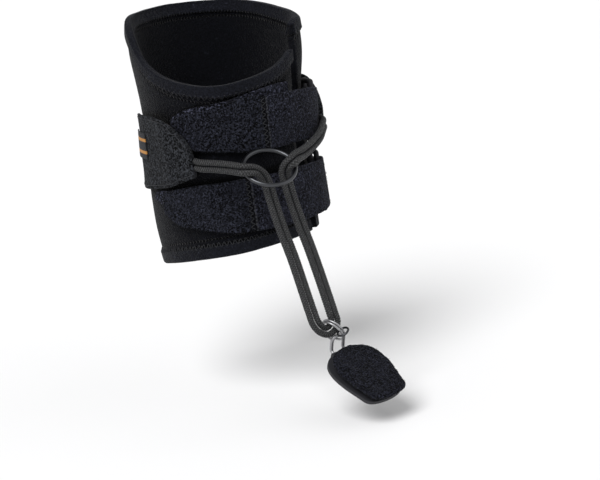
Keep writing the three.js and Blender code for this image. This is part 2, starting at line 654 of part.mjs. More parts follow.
// Outline of the pad and the plate, from curves given as shares of half the width and of the length
function padOutline(width, length, top) {
  const half = width / 2;
  const outline = new THREE.Shape();
  const curves = [
    [0.6, 0, 1, 0.12, 1, 0.36], [1, 0.6, 0.8, 0.75, 0.76, 0.88], [0.72, 1, -0.72, 1, -0.76, 0.88],
    [-0.8, 0.75, -1, 0.6, -1, 0.36], [-1, 0.12, -0.6, 0, 0, 0],
  ];
  outline.moveTo(0, top);
  for (const shares of curves) {
    const sizes = shares.map((share, i) => (i % 2 === 0 ? half * share : top - length * share));
    outline.bezierCurveTo(...sizes);
  }
  return outline;
}

function addClip() {
  const flat = { bevelEnabled: false, curveSegments: 6 };
  const padShape = padOutline(PAD_WIDTH, PAD_LENGTH, PAD_TOP);
  const pad = new THREE.ExtrudeGeometry(padShape, { ...flat, depth: PAD_THICKNESS });
  const padUnder = -PAD_THICKNESS / 2;
  pad.translate(0, 0, padUnder);
  addPiece('lace_pad', pad, FUZZY_LOOP, clip);

  const plateShape = padOutline(PLATE_WIDTH, PAD_LENGTH, PLATE_TOP);
  const plate = new THREE.ExtrudeGeometry(plateShape, { ...flat, depth: PLATE_THICKNESS });
  const plateFace = padUnder - CLEARANCE - LACE_SPACE;
  plate.translate(0, 0, plateFace - PLATE_THICKNESS);
  addPiece('lace_plate', plate, PLASTIC, clip);

  const lugHeight = LACE_SPACE - CLEARANCE;
  const lug = new THREE.BoxGeometry(LUG_WIDTH, LUG_LENGTH, lugHeight);
  lug.translate(LUG_MIDDLE, PLATE_TOP - LUG_SETBACK - LUG_LENGTH / 2, plateFace + CLEARANCE + lugHeight / 2);
  addPiece('clip_lug', lug, PLASTIC, clip);

  const legs = BAIL_WIDTH / 2;
  const foot = PLATE_TOP - LUG_SETBACK + 1.5 * CLEARANCE;
  const seat = plateFace + CLEARANCE + lugHeight / 2;
  const points = [
    [-1, 0, 0], [-1, 0.45, 0.08], [-1, 0.78, 0.45], [-0.95, 0.95, 0.8], [-0.6, 1, 0.97],
    [0, 1, 1], [0.6, 1, 0.97], [0.95, 0.95, 0.8], [1, 0.78, 0.45], [1, 0.45, 0.08], [1, 0, 0],
  ].map(([x, y, z]) => new THREE.Vector3(LUG_MIDDLE + legs * x, foot + BAIL_REACH * y, seat + BAIL_RISE * z));
  const curve = new THREE.CatmullRomCurve3(points, false, 'centripetal');
  addPiece('bail', tube(curve, BAIL_WIRE, 8, 22), STEEL, clip);
}

addCuff();
addBinding('top_binding', 1);
addBinding('bottom_binding', 0);
addUnderLayer('upper_under_layer', UPPER_STRAP_HEIGHT, UPPER_UNDER_START, UPPER_UNDER_EDGES);
addUnderLayer('lower_under_layer', LOWER_STRAP_HEIGHT, LOWER_UNDER_START, LOWER_UNDER_EDGES);
addStrap('upper_strap', UPPER_STRAP_HEIGHT, UPPER_STRAP_EDGES, UPPER_SEAM, UPPER_TIP, UPPER_INNER_END);
addStrap('lower_strap', LOWER_STRAP_HEIGHT, LOWER_STRAP_EDGES, LOWER_SEAM, LOWER_TIP, LOWER_INNER_END);
addBuckle('upper_buckle', UPPER_STRAP_HEIGHT);
addBuckle('lower_buckle', LOWER_STRAP_HEIGHT);
addWebbingLoop('upper_webbing_loop', UPPER_STRAP_HEIGHT);
addWebbingLoop('lower_webbing_loop', LOWER_STRAP_HEIGHT);
addTab('left', LEFT_TAB_ANGLE, LEFT_TAB_CENTRE, leftTabUnder);
addTab('right', RIGHT_TAB_ANGLE, RIGHT_TAB_CENTRE, rightTabUnder);
addBadge();
addCords();
addGatheringRing();
addSplitRing();
addLink();
addClip();

export default group;
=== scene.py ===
"""Foot drop brace: the finish of its cuff, straps, cords and clip, and the stage it stands on."""

import contextlib
import json
import math

import bpy
import numpy as np
from bpy.props import FloatProperty, FloatVectorProperty, PointerProperty
from mathutils import Matrix, Vector, noise
from mathutils.bvhtree import BVHTree

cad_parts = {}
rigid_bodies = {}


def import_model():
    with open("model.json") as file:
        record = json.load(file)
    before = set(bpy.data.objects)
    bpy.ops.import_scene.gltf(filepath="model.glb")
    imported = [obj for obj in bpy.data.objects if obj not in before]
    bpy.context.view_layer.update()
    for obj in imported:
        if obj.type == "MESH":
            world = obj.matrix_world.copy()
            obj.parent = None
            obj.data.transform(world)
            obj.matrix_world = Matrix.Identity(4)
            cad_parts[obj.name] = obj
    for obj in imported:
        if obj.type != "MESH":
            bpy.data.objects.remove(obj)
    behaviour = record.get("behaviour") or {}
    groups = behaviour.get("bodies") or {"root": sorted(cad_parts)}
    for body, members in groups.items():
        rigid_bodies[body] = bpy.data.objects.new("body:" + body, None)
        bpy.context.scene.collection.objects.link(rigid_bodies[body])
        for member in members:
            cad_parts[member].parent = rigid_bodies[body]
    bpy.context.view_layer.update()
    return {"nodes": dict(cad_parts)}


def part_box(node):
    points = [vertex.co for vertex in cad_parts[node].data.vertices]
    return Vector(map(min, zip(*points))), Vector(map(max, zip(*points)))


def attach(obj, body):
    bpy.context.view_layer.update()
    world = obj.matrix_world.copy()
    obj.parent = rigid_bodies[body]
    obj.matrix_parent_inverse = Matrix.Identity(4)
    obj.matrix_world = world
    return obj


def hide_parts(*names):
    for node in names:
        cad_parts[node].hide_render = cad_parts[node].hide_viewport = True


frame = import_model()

bl_info = {
    "name": "Foot drop brace",
    "version": (1, 0, 0),
    "blender": (4, 5, 0),
    "location": "3D View > Sidebar > Brace",
    "description": "Builds the cloth, cords, metal and stitching of a foot drop brace",
    "category": "Add Mesh",
}

NODES = frame["nodes"]
MM = 0.001
FULL_TURN = 2 * math.pi
WRAP_RADIUS = 0.047
RIMS = (("top_binding", True), ("bottom_binding", False))
RIM_PINCH_DEPTH = 9 * MM
RIM_PINCH = 0.42
STRAP_ZONE = 55 * MM
PANEL_GAP = math.radians(39) * WRAP_RADIUS
SEAMS = {"upper": math.radians(-4), "lower": math.radians(-20)}
KNIT_WAVES = 257
NEEDLE_HOLES = 141
BRAID_SIDES = 28
FIBRE_WIDTH = 0.07 * MM
PUFF_FRAMES = 16
LENS = 92.88
SENSOR_WIDTH = 36
PICTURE_WIDTH = 600
CAMERA_VIEW = {"azimuth": -29, "elevation": 10, "roll": math.radians(8), "distance": 0.9}
CUFF_OFFSET = (71, 88)


# Sizes and colours: key, label, description and default

SIZES = (
    ("edge_round", "Edge round", "Radius of the rolled edge of the straps and tabs", 0.7 * MM),
    ("stitch_length", "Stitch length", "Length of one stitch of the zigzag rows", 2.6 * MM),
    ("thread_width", "Thread width", "Thickness of the sewing thread", 0.42 * MM),
    ("rib_pitch", "Cord rib pitch", "Distance between the ribs of the braided cord", 1.35 * MM),
    ("rib_depth", "Cord rib depth", "Height of the ribs of the braided cord", 0.26 * MM),
    ("fibre_length", "Fibre length", "Length of the loose fibres on the brushed fabric", 0.9 * MM),
)
COLOURS = (
    ("knit", "Cuff fabric", "Colour of the cuff's knit face", (0.0058, 0.0063, 0.0090)),
    ("pile", "Brushed fabric", "Colour of the straps' pile", (0.0084, 0.0089, 0.0130)),
    ("tip", "Strap tips", "Colour of the flatter pile of the strap tips", (0.0072, 0.0078, 0.0112)),
    ("tab", "Side tabs", "Colour of the side tabs", (0.0125, 0.0134, 0.0155)),
    ("cord", "Cord", "Colour of the cord's braided cover", (0.0066, 0.0070, 0.0082)),
    ("steel", "Steel", "Colour of the rings and the bail", (0.0850, 0.0880, 0.0950)),
    ("plastic", "Plastic", "Colour of the buckles and the clip's plate", (0.0035, 0.0037, 0.0043)),
)


class BraceSizes(bpy.types.PropertyGroup):
    """Sizes of the details, in metres."""

    __annotations__ = {
        key: FloatProperty(name=label, description=text, default=size, unit="LENGTH")
        for key, label, text, size in SIZES
    }


class BraceColours(bpy.types.PropertyGroup):
    """Base colours of the materials."""

    __annotations__ = {
        key: FloatVectorProperty(name=label, description=text, default=colour, subtype="COLOR")
        for key, label, text, colour in COLOURS
    }


class StageSettings(bpy.types.PropertyGroup):
    """Floor, light and camera."""

    floor_height: FloatProperty(
        name="Floor height", description="Height of the floor, below the clip", default=-0.1420, unit="LENGTH"
    )
    floor_colour: FloatVectorProperty(
        name="Floor colour",
        description="Colour of the floor",
        subtype="COLOR",
        default=(0.88, 0.88, 0.885),
    )
    key_power: FloatProperty(
        name="Key light", description="Strength of the large soft light from the upper left", default=2.5
    )
    world_light: FloatProperty(
        name="Room light", description="Strength of the even white light from above", default=0.45
    )
    lens: FloatProperty(name="Lens", description="Focal length, in millimetres", default=LENS)


# Working on one piece at a time


def only(piece):
    """Makes one piece the active and only selected object."""
    bpy.ops.object.select_all(action="DESELECT")
    piece.select_set(True)
    bpy.context.view_layer.objects.active = piece
    return piece


def finish_with(piece, kind, **settings):
    """Adds a modifier to a piece and applies it."""
    only(piece)
    modifier = piece.modifiers.new(kind.title(), kind)
    for name, value in settings.items():
        setattr(modifier, name, value)
    bpy.ops.object.modifier_apply(modifier=modifier.name)


@contextlib.contextmanager
def edit_mode():
    """Edit mode on the active piece, with all of it selected."""
    bpy.ops.object.mode_set(mode="EDIT")
    bpy.ops.mesh.select_all(action="SELECT")
    yield
    bpy.ops.object.mode_set(mode="OBJECT")


def add_object(name, data):
    """Puts a new object in the scene and makes it the active one."""
    piece = bpy.data.objects.new(name, data)
    bpy.context.scene.collection.objects.link(piece)
    return only(piece)


def frame_of(*columns):
    """The 4 by 4 matrix with three given axes and a given middle."""
    return Matrix([[*(column[i] for column in columns)] for i in range(3)] + [[0, 0, 0, 1]])


def take_shape(node, name):
    """A new piece with the shape of a CAD solid, its loose triangles merged into four-sided faces."""
    mesh = NODES[node].data.copy()
    mesh.materials.clear()
    piece = add_object(name, mesh)
    if mesh.has_custom_normals:
        bpy.ops.mesh.customdata_custom_splitnormals_clear()
    with edit_mode():
        bpy.ops.mesh.remove_doubles(threshold=2e-6)
        bpy.ops.mesh.tris_convert_to_quads(face_threshold=1.2, shape_threshold=1.2)
    return piece


def soften(piece, edge, levels=2, angle=40):
    """Rolls the edges of a piece and smooths its faces."""
    finish_with(piece, "BEVEL", width=edge, segments=2, limit_method="ANGLE", angle_limit=math.radians(angle))
    finish_with(piece, "SUBSURF", levels=levels, render_levels=levels)
    smooth(piece)


def smooth(piece):
    """Shades all of a piece smooth."""
    only(piece)
    bpy.ops.object.shade_smooth()
    return piece


def points_of(mesh, what="co"):
    """Places or normals of a mesh's vertices, one row each."""
    values = np.empty(len(mesh.vertices) * 3)
    mesh.vertices.foreach_get(what, values)
    return values.reshape(-1, 3)


def note(piece, label, values):
    """Stores one value for each point of a piece, for its material to read."""
    layer = piece.data.attributes.new(label, "FLOAT", "POINT")
    layer.data.foreach_set("value", np.asarray(values, np.float32).ravel())


def crumple(piece, depth, size, seed):
    """Gives a piece the soft unevenness of cloth."""
    places, normals = points_of(piece.data), points_of(piece.data, "normal")
    shift = np.array([seed, 2.3 * seed, 5.1 * seed])
    heights = [noise.noise(place) for place in (places / size + shift).tolist()]
    moved = places + normals * depth * np.array(heights)[:, None]
    piece.data.vertices.foreach_set("co", moved.ravel())
    piece.data.update()


def turns_of(places):
    """Turn of each place round the leg, 0 at the front."""
    return np.arctan2(places[:, 0], -places[:, 1])


def roll_rim(piece, up, width):
    """Rounds the two long edges of a rim, on its upper side or its lower one."""
    mesh = piece.data
    normals = {}
    for face in mesh.polygons:
        for key in face.edge_keys:
            normals.setdefault(key, []).append(face.normal.z * up)
    weights = mesh.attributes.new("bevel_weight_edge", "FLOAT", "EDGE")
    for edge in mesh.edges:
        faces = sorted(normals[edge.key])
        weights.data[edge.index].value = float(len(faces) == 2 and faces[1] > 0.6 and abs(faces[0]) < 0.5)
    finish_with(piece, "BEVEL", width=width, segments=4, limit_method="WEIGHT")


def pinch_rims(*pieces):
    """Squeezes the wall at the two rims, as a sewn binding does, and leaves its outer face in place."""
    trees = surface(*pieces)
    lines = [np.array(rim_line(node, top)) for node, top in RIMS]
    for piece in pieces:
        for vertex in piece.data.vertices:
            place = vertex.co
            along = math.atan2(place.x, -place.y) * WRAP_RADIUS
            top, bottom = (np.interp(along, line[:, 0], line[:, 1]) for line in lines)
            depth = min(top - place.z, place.z - bottom)
            if depth > RIM_PINCH_DEPTH:
                continue
            face = on_leg(trees, along, min(max(place.z, bottom + 0.1 * MM), top - 0.1 * MM))
            if face is None:
                continue
            radius = math.hypot(place.x, place.y)
            outer = math.hypot(face[0].x, face[0].y)
            share = 1 - max(depth, 0) / RIM_PINCH_DEPTH
            keep = 1 - RIM_PINCH * share * share * (3 - 2 * share)
            if outer > radius:
                push_out(vertex, (outer - (outer - radius) * keep) / radius)


def push_out(vertex, scale):
    """Moves a point away from the leg's axis."""
    vertex.co = Vector((vertex.co.x * scale, vertex.co.y * scale, vertex.co.z))


def painted_shade_map(piece, *covers, reach=12 * MM, every=False):
    """Notes how far the covers close in each outer point, or every point: 1 where they do so all round.
    Materials paint shade from it, darker where covered.
    """
    trees = surface(*covers)
    random = np.random.default_rng(5)
    rays = [Vector(ray).normalized() for ray in random.normal(size=(16, 3)).tolist()]
    values = []
    for vertex in piece.data.vertices:
        place, normal = vertex.co, vertex.normal
        closed = 0
        outward = normal.x * place.x + normal.y * place.y > 10 * MM
        if every or abs(place.z) < STRAP_ZONE and outward:
            for ray in rays:
                way = (ray * 0.9 + normal).normalized()
                start = place + normal * (0.3 * MM)
                closed += any(tree.ray_cast(start, way, reach)[0] is not None for tree in trees)
        values.append(closed / len(rays))
    note(piece, "painted_shade", values)


def swell(piece, low, high, height):
    """Lets the outer face stand out softly between two heights, as foam does between straps."""
    for vertex in piece.data.vertices:
        place = vertex.co
        radius = math.hypot(place.x, place.y)
        outward = (vertex.normal.x * place.x + vertex.normal.y * place.y) / radius
        share = (place.z - low) / (high - low)
        if outward > 0.5 and 0 < share < 1:
            push_out(vertex, 1 + height * math.sin(math.pi * share) ** 2 / radius)


def wrap_map(piece):
    """Lays a UV map round the leg: along the cuff and up it, both in metres."""
    mesh = piece.data
    layer = mesh.uv_layers.get("wrap") or mesh.uv_layers.new(name="wrap")
    places = points_of(mesh)
    corners = np.empty(len(mesh.loops), dtype=np.int32)
    mesh.loops.foreach_get("vertex_index", corners)
    sizes = np.empty(len(mesh.polygons), dtype=np.int32)
    mesh.polygons.foreach_get("loop_total", sizes)
    turns = turns_of(places)[corners]
    first = np.repeat(turns[np.concatenate([[0], np.cumsum(sizes)[:-1]])], sizes)
    turns = turns + FULL_TURN * np.round((first - turns) / FULL_TURN)
    spread = np.stack([turns * WRAP_RADIUS, places[corners, 2]], 1)
    layer.data.foreach_set("uv", spread.ravel())


def rim_map(piece):
    """Notes how far each point lies below the cuff's top rim and above its bottom rim."""
    places = points_of(piece.data)
    along = turns_of(places) * WRAP_RADIUS
    for label, (node, top) in zip(("below_top", "above_bottom"), RIMS):
        line = np.array(rim_line(node, top))
        gap = np.interp(along, line[:, 0], line[:, 1]) - places[:, 2]
        note(piece, label, gap if top else -gap)


def hand_over(piece, material, slot, *nodes):
    """Gives a finished piece its material and its place in the frame."""
    piece.data.materials.clear()
    piece.data.materials.append(material)
    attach(piece, "root")
    if nodes:
        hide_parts(*nodes)
    return piece


# Materials


def sum_of(kind, swapped=False):
    """A method of Signal that adds one Math node."""

    def method(self, *others):
        values = (*others, self) if swapped else (self, *others)
        return self.finish.node("Math", values, operation=kind)

    return method


class Signal:
    """A value in a material, which takes part in sums like a number."""

    def __init__(self, finish, socket):
        self.finish = finish
        self.socket = socket

    __add__ = sum_of("ADD")
    __radd__ = sum_of("ADD", swapped=True)
    __sub__ = sum_of("SUBTRACT")
    __rsub__ = sum_of("SUBTRACT", swapped=True)
    __mul__ = sum_of("MULTIPLY")
    __rmul__ = sum_of("MULTIPLY", swapped=True)
    __truediv__ = sum_of("DIVIDE")
    __pow__ = sum_of("POWER")
    sine = sum_of("SINE")
    size = sum_of("ABSOLUTE")
    fraction = sum_of("FRACT")
    over = sum_of("MAXIMUM")

    def wave(self, length):
        """A sine of a given wavelength."""
        return (self * (FULL_TURN / length)).sine()

    def ramp(self, low, high):
        """0 at low, 1 at high, smooth between."""
        inputs = {"Value": self, "From Min": low, "From Max": high}
        return self.finish.node("MapRange", inputs, interpolation_type="SMOOTHSTEP")


class Finish:
    """A material built round one Principled shader."""

    def __init__(self, name, **constants):
        self.material = bpy.data.materials.new(name)
        self.material.use_nodes = True
        self.tree = self.material.node_tree
        self.shader = self.tree.nodes["Principled BSDF"]
        for name, value in constants.items():
            socket = name.replace("_", " ").title().replace("Ior", "IOR")
            self.shader.inputs[socket].default_value = value

    def node(self, kind, inputs=(), output=0, **settings):
        """Adds a shader node, feeds its inputs, and gives one of its outputs."""
        node = self.tree.nodes.new("ShaderNode" + kind)
        for name, value in settings.items():
            setattr(node, name, value)
        pairs = inputs.items() if isinstance(inputs, dict) else enumerate(inputs)
        for key, value in pairs:
            self.feed(node.inputs[key], value)
        return Signal(self, node.outputs[output])

    def feed(self, socket, value):
        if isinstance(value, Signal):
            self.tree.links.new(value.socket, socket)
        else:
            socket.default_value = value

    def place(self):
        return self.node("TexCoord", output="Object")

    def wrapped(self):
        """Along and up, in metres, from the UV map round the leg."""
        uv = self.node("UVMap", uv_map="wrap")
        split = self.node("SeparateXYZ", (uv,))
        return split, Signal(self, split.socket.node.outputs["Y"])

    def noted(self, label):
        """A value that the piece stores for each point."""
        return self.node("Attribute", attribute_name=label, output="Fac")

    def cloud(self, scale, detail=2.0, rough=0.5):
        """Noise from 0 to 1, with so many blots in a metre."""
        inputs = {"Vector": self.place(), "Scale": scale, "Detail": detail, "Roughness": rough}
        return self.node("TexNoise", inputs, output="Fac")

    def mix(self, share, low, high):
        """A colour between two others."""
        node = self.node("Mix", {"Factor": share}, data_type="RGBA").socket.node
        for socket, colour in ((node.inputs[6], low), (node.inputs[7], high)):
            self.feed(socket, colour if isinstance(colour, Signal) else (*colour, 1))
        return Signal(self, node.outputs[2])

    def colour(self, value):
        self.feed(self.shader.inputs["Base Color"], value)

    def rough(self, value):
        self.feed(self.shader.inputs["Roughness"], value)

    def relief(self, height, depth, strength=1.0):
        """Bump from a height of 0 to 1, depth in metres. Several add up."""
        normal = self.shader.inputs["Normal"]
        inputs = {"Height": height, "Distance": depth, "Strength": strength}
        if normal.is_linked:
            inputs["Normal"] = Signal(self, normal.links[0].from_socket)
        self.feed(normal, self.node("Bump", inputs))


def shade(colour, factor):
    return tuple(channel * factor for channel in colour)


def stitch_holes(finish, label, distance, spread):
    """Two rows of needle holes side by side, at a distance from a rim: 1 in each hole."""
    along, _ = finish.wrapped()
    depth = finish.noted(label)
    pitch = FULL_TURN * WRAP_RADIUS / NEEDLE_HOLES
    holes = None
    for row, shift in ((-spread / 2, 0.0), (spread / 2, 0.5)):
        across = ((along / pitch + shift).fraction() - 0.5) * pitch
        down = depth - (distance + row)
        reach = (across * across + down * down) ** 0.5
        hole = 1 - reach.ramp(0.35 * MM, 0.95 * MM)
        holes = hole if holes is None else holes.over(hole)
    return holes


def knit_finish(name, colour):
    """Fine knit: small stitches in columns, slightly uneven, pressed in at the rows of needle holes, with
    painted shade in the holes and where the straps and tabs cover it.
    """
    finish = Finish(name, sheen_weight=0.09, sheen_roughness=0.35, specular_ior_level=0.06)
    along, up = finish.wrapped()
    column = (along * (KNIT_WAVES / WRAP_RADIUS)).sine().size()
    row = up.wave(0.9 * MM).size()
    fleck = finish.cloud(1150, 1.5, 0.6).ramp(0.4, 0.6)
    patch = finish.cloud(45, 3.0, 0.55)
    lint = finish.cloud(420, 1.0).ramp(0.66, 0.80)
    knit = column * row
    holes = stitch_holes(finish, "below_top", 8.1 * MM, 2.7 * MM)
    holes = holes.over(stitch_holes(finish, "above_bottom", 9.2 * MM, 3.0 * MM))
    base = finish.mix(patch, shade(colour, 0.75), shade(colour, 1.3))
    base = finish.mix(knit * 0.4 + fleck * 0.6, shade(colour, 0.3), base)
    painted_shade = finish.noted("painted_shade")
    base = finish.mix(lint * 0.5, base, shade(colour, 3.0))
    # Painted shade: darker where the straps and tabs close over the cuff.
    base = finish.mix(painted_shade.ramp(0.05, 0.6) * 0.9, base, shade(colour, 0.1))
    # Painted shade in the needle holes, which the relief below also presses in.
    finish.colour(finish.mix(holes * 0.9, base, shade(colour, 0.12)))
    finish.rough(0.82 + fleck * 0.15)
    finish.relief(knit, 0.12 * MM, 0.6)
    finish.relief(fleck, 0.3 * MM, 0.8)
    finish.relief(patch, 0.9 * MM, 0.4)
    finish.relief(1 - holes, 0.9 * MM, 1.0)
    return finish.material


def pile_finish(name, colour, coarse, bright, seam=None):
    """Brushed pile: a dense mat of short loops that lie in all directions, pressed flat along a seam."""
    finish = Finish(name, sheen_weight=0.035, sheen_roughness=0.35, specular_ior_level=0.06)
    loops = finish.cloud(1100 / coarse, 1.5, 0.5)
    tufts = finish.cloud(420 / coarse, 2.0, 0.6)
    nap = finish.cloud(70, 2.0, 0.5)
    glint = finish.cloud(1000 / coarse, 1.0, 0.5).ramp(0.60, 0.68)
    base = finish.mix(loops.ramp(0.42, 0.58), shade(colour, 0.06), shade(colour, 2.5))
    base = finish.mix(tufts.ramp(0.45, 0.62) * 0.6, base, shade(colour, 0.3))
    base = finish.mix(nap.ramp(0.45, 0.7) * 0.3, base, shade(colour, 2.0))
    base = finish.mix(glint * bright, base, shade(colour, 9.0))
    if seam is not None:
        along, up = finish.wrapped()
        ragged = finish.cloud(520, 2.0) * (1.8 * MM)
        reach = (along - (seam * WRAP_RADIUS + 0.9 * MM) + ragged).size()
        band = 1 - reach.ramp(1.5 * MM, 2.1 * MM)
        edge = 1 - (reach - 2.1 * MM).size().ramp(0.2 * MM, 0.7 * MM)
        tooth = (up.wave(1.9 * MM) + loops * 0.6).ramp(0.3, 0.9)
        base = finish.mix(band * 0.8, base, shade(colour, 0.05))
        base = finish.mix(edge * (tooth * 0.7 + 0.3) * 0.7, base, (0.055, 0.057, 0.062))
        finish.relief(1 - band, 0.8 * MM, 0.8)
    finish.colour(base)
    finish.rough(0.88 + loops * 0.1)
    finish.relief(tufts, 1.2 * MM, 0.9)
    finish.relief(loops, 0.9 * MM, 1.0)
    return finish.material


def webbing_finish(name, colour):
    """Woven webbing with a herringbone of fine ribs."""
    finish = Finish(name, sheen_weight=0.04, specular_ior_level=0.2)
    along, up = finish.wrapped()
    slant = (up / (6 * MM)).fraction() - 0.5
    rib = (along + slant.size() * 5 * MM).wave(1.3 * MM)
    yarn = up.wave(1.1 * MM)
    weave = (rib * 0.35 + yarn * 0.15) + 0.5
    worn = finish.cloud(120, 3.0)
    base = finish.mix(weave, shade(colour, 0.5), shade(colour, 1.6))
    finish.colour(finish.mix(worn.ramp(0.5, 0.8) * 0.4, base, shade(colour, 2.2)))
    finish.rough(0.7 + worn * 0.15)
    finish.relief(weave, 0.25 * MM, 0.8)
    return finish.material


def hook_finish(name, colour):
    """Hook tape: rows of tiny stiff hooks."""
    finish = Finish(name, specular_ior_level=0.2)
    along, up = finish.wrapped()
    rows = along.wave(1.4 * MM) * up.wave(1.2 * MM)
    dirt = finish.cloud(200, 3.0)
    finish.colour(finish.mix(rows.ramp(-0.2, 0.9), shade(colour, 0.5), shade(colour, 1.6)))
    finish.rough(0.55 + dirt * 0.3)
    finish.relief(rows.ramp(0.0, 0.8), 0.5 * MM, 0.9)
    return finish.material


def cord_finish(name, colour):
    """Braided cover: the rib crests are painted lighter as a highlight and the grooves darker as shade, over
    the ribbed tube.
    """
    finish = Finish(name, specular_ior_level=0.8)
    rib = finish.noted("rib")
    yarn = finish.noted("yarn")
    filament = (yarn * 46).sine() * 0.5 + 0.5
    worn = finish.cloud(260, 3.0)
    crest = rib.ramp(0.55, 0.9)
    # Painted highlight on the rib crests and painted shade in the grooves.
    base = finish.mix(crest, shade(colour, 0.02), shade(colour, 3.4))
    # Painted highlights along the yarns of the crests.
    base = finish.mix(filament * crest * 0.35, base, shade(colour, 5.0))
    finish.colour(finish.mix(worn.ramp(0.55, 0.85) * 0.3, base, shade(colour, 2.0)))
    finish.rough(0.95 - crest * 0.6 + worn * 0.05)
    finish.relief(filament, 0.06 * MM, 0.7)
    return finish.material


def steel_finish(name, colour, rough):
    """Polished wire with fine drawing marks and dull patches, and painted shade where the cuff closes over
    it.
    """
    finish = Finish(name, metallic=1.0)
    patch = finish.cloud(180, 3.0)
    mark = finish.cloud(2200, 2.0, 0.7)
    painted_shade = finish.noted("painted_shade").ramp(0.15, 0.75)
    base = finish.mix(patch, shade(colour, 0.75), shade(colour, 1.2))
    # Painted shade: darker where the cuff closes over the wire, on the ring's back arc.
    finish.colour(finish.mix(painted_shade * 0.85, base, shade(colour, 0.08)))
    finish.rough(rough + patch * 0.16 + mark * 0.05)
    finish.relief(mark, 0.02 * MM, 0.4)
    return finish.material


def plastic_finish(name, colour):
    """Moulded plastic with a fine grain and rubbed spots."""
    finish = Finish(name, specular_ior_level=0.35)
    grain = finish.cloud(2600, 1.0)
    rub = finish.cloud(150, 4.0, 0.6)
    finish.colour(finish.mix(rub.ramp(0.5, 0.8) * 0.5, colour, shade(colour, 2.4)))
    finish.rough(0.3 + rub * 0.22)
    finish.relief(grain, 0.04 * MM, 0.5)
    return finish.material


def thread_finish(name, colour):
    """Twisted thread."""
    finish = Finish(name, specular_ior_level=0.3)
    twist = finish.cloud(2400, 1.0)
    finish.colour(finish.mix(twist, shade(colour, 0.6), shade(colour, 1.7)))
    finish.rough(0.5 + twist * 0.2)
    return finish.material


def badge_finish(name):
    """Woven label: dark ground with two plain bars."""
    finish = Finish(name, specular_ior_level=0.2)
    along, up = finish.wrapped()
    middle = up - 0.013
    bars = 1 - (middle.size() - 0.0035).size().ramp(0.0007, 0.0011)
    weave = along.wave(0.7 * MM) * up.wave(0.7 * MM)
    finish.colour(finish.mix(bars, (0.018, 0.019, 0.022), (0.42, 0.20, 0.055)))
    finish.rough(0.7 + weave * 0.1)
    finish.relief(weave * 0.5 + 0.5, 0.12 * MM, 0.8)
    return finish.material


def material(key):
    """The brace's materials, each made once."""
    made = bpy.data.materials.get(key)
    if made:
        return made
    colours = bpy.context.scene.brace_colours
    makers = {
        "cuff_knit": (knit_finish, colours.knit),
        "binding_knit": (knit_finish, shade(colours.knit, 1.9)),
        "upper_pile": (pile_finish, colours.pile, 1.0, 0.5, SEAMS["upper"]),
        "lower_pile": (pile_finish, colours.pile, 1.0, 0.5, SEAMS["lower"]),
        "pad_pile": (pile_finish, shade(colours.pile, 0.7), 1.0, 0.4),
        "tip_pile": (pile_finish, colours.tip, 1.1, 0.35),
        "tab_pile": (pile_finish, colours.tab, 1.2, 0.15),
        "under_pile": (pile_finish, shade(colours.pile, 1.3), 1.3, 0.6),
        "hook_tape": (hook_finish, (0.012, 0.012, 0.014)),
        "webbing": (webbing_finish, (0.008, 0.008, 0.010)),
        "cord_braid": (cord_finish, colours.cord),
        "steel": (steel_finish, colours.steel, 0.14),
        "dark_steel": (steel_finish, shade(colours.steel, 0.8), 0.2),
        "plastic": (plastic_finish, colours.plastic),
        "thread": (thread_finish, (0.014, 0.015, 0.018)),
        "lint": (thread_finish, (0.022, 0.023, 0.028)),
        "badge_weave": (badge_finish,),
    }
    maker, *values = makers[key]
    return maker(key, *values)


# Stitches and fibres, each modelled once and copied


def rod(sides, *cuts):
    """A rod of unit length and width along X, with more rings of points where it is cut."""
    bpy.ops.object.select_all(action="DESELECT")
    bpy.ops.mesh.primitive_cylinder_add(vertices=sides, radius=0.5, depth=1.0, rotation=(0, math.pi / 2, 0))
    form = bpy.context.object
    bpy.ops.object.transform_apply(location=True, rotation=True, scale=True)
    for cut in cuts:
        with edit_mode():
            bpy.ops.mesh.bisect(plane_co=(cut, 0, 0), plane_no=(1, 0, 0))
    return form


def repeat(form, frames, name):
    """Copies a form into one mesh, once for each 4 by 4 frame."""
    points = np.array([(*vertex.co, 1) for vertex in form.data.vertices])
    faces = [list(face.vertices) for face in form.data.polygons]
    count = len(points)
    places = [tuple(row[:3]) for matrix in frames for row in points @ np.array(matrix).T]
    copies = [[index + count * i for index in face] for i in range(len(frames)) for face in faces]
    mesh = bpy.data.meshes.new(name)
    mesh.from_pydata(places, [], copies)
    bpy.data.objects.remove(form)
    return smooth(add_object(name, mesh))


def stitch_frames(rows, width):
    """Frames for the stitches of rows of (place, normal) pairs: one from each place to the next."""
    frames = []
    for row in rows:
        for (start, normal), (end, _) in zip(row[:-1], row[1:]):
            along = end - start
            across = normal.cross(along).normalized() * width
            out = along.cross(across).normalized() * width
            middle = (start + end) / 2 + out * 0.25
            frames.append(frame_of(along * 0.86, across, out, middle))
    return frames


def surface(*pieces):
    """Trees of the surfaces of pieces, to lay stitches and fibres on."""
    return [BVHTree.FromObject(piece, bpy.context.evaluated_depsgraph_get()) for piece in pieces]


def on_leg(trees, along, height):
    """Outermost place and its normal at a length round the cuff and a height."""
    turn = along / WRAP_RADIUS
    out = Vector((math.sin(turn), -math.cos(turn), 0))
    start = out * 0.09 + Vector((0, 0, height))
    hits = [tree.ray_cast(start, -out, 0.06) for tree in trees]
    hits = [hit for hit in hits if hit[0] is not None]
    if not hits:
        return None
    place, normal, _, _ = min(hits, key=lambda hit: hit[3])
    return place, normal


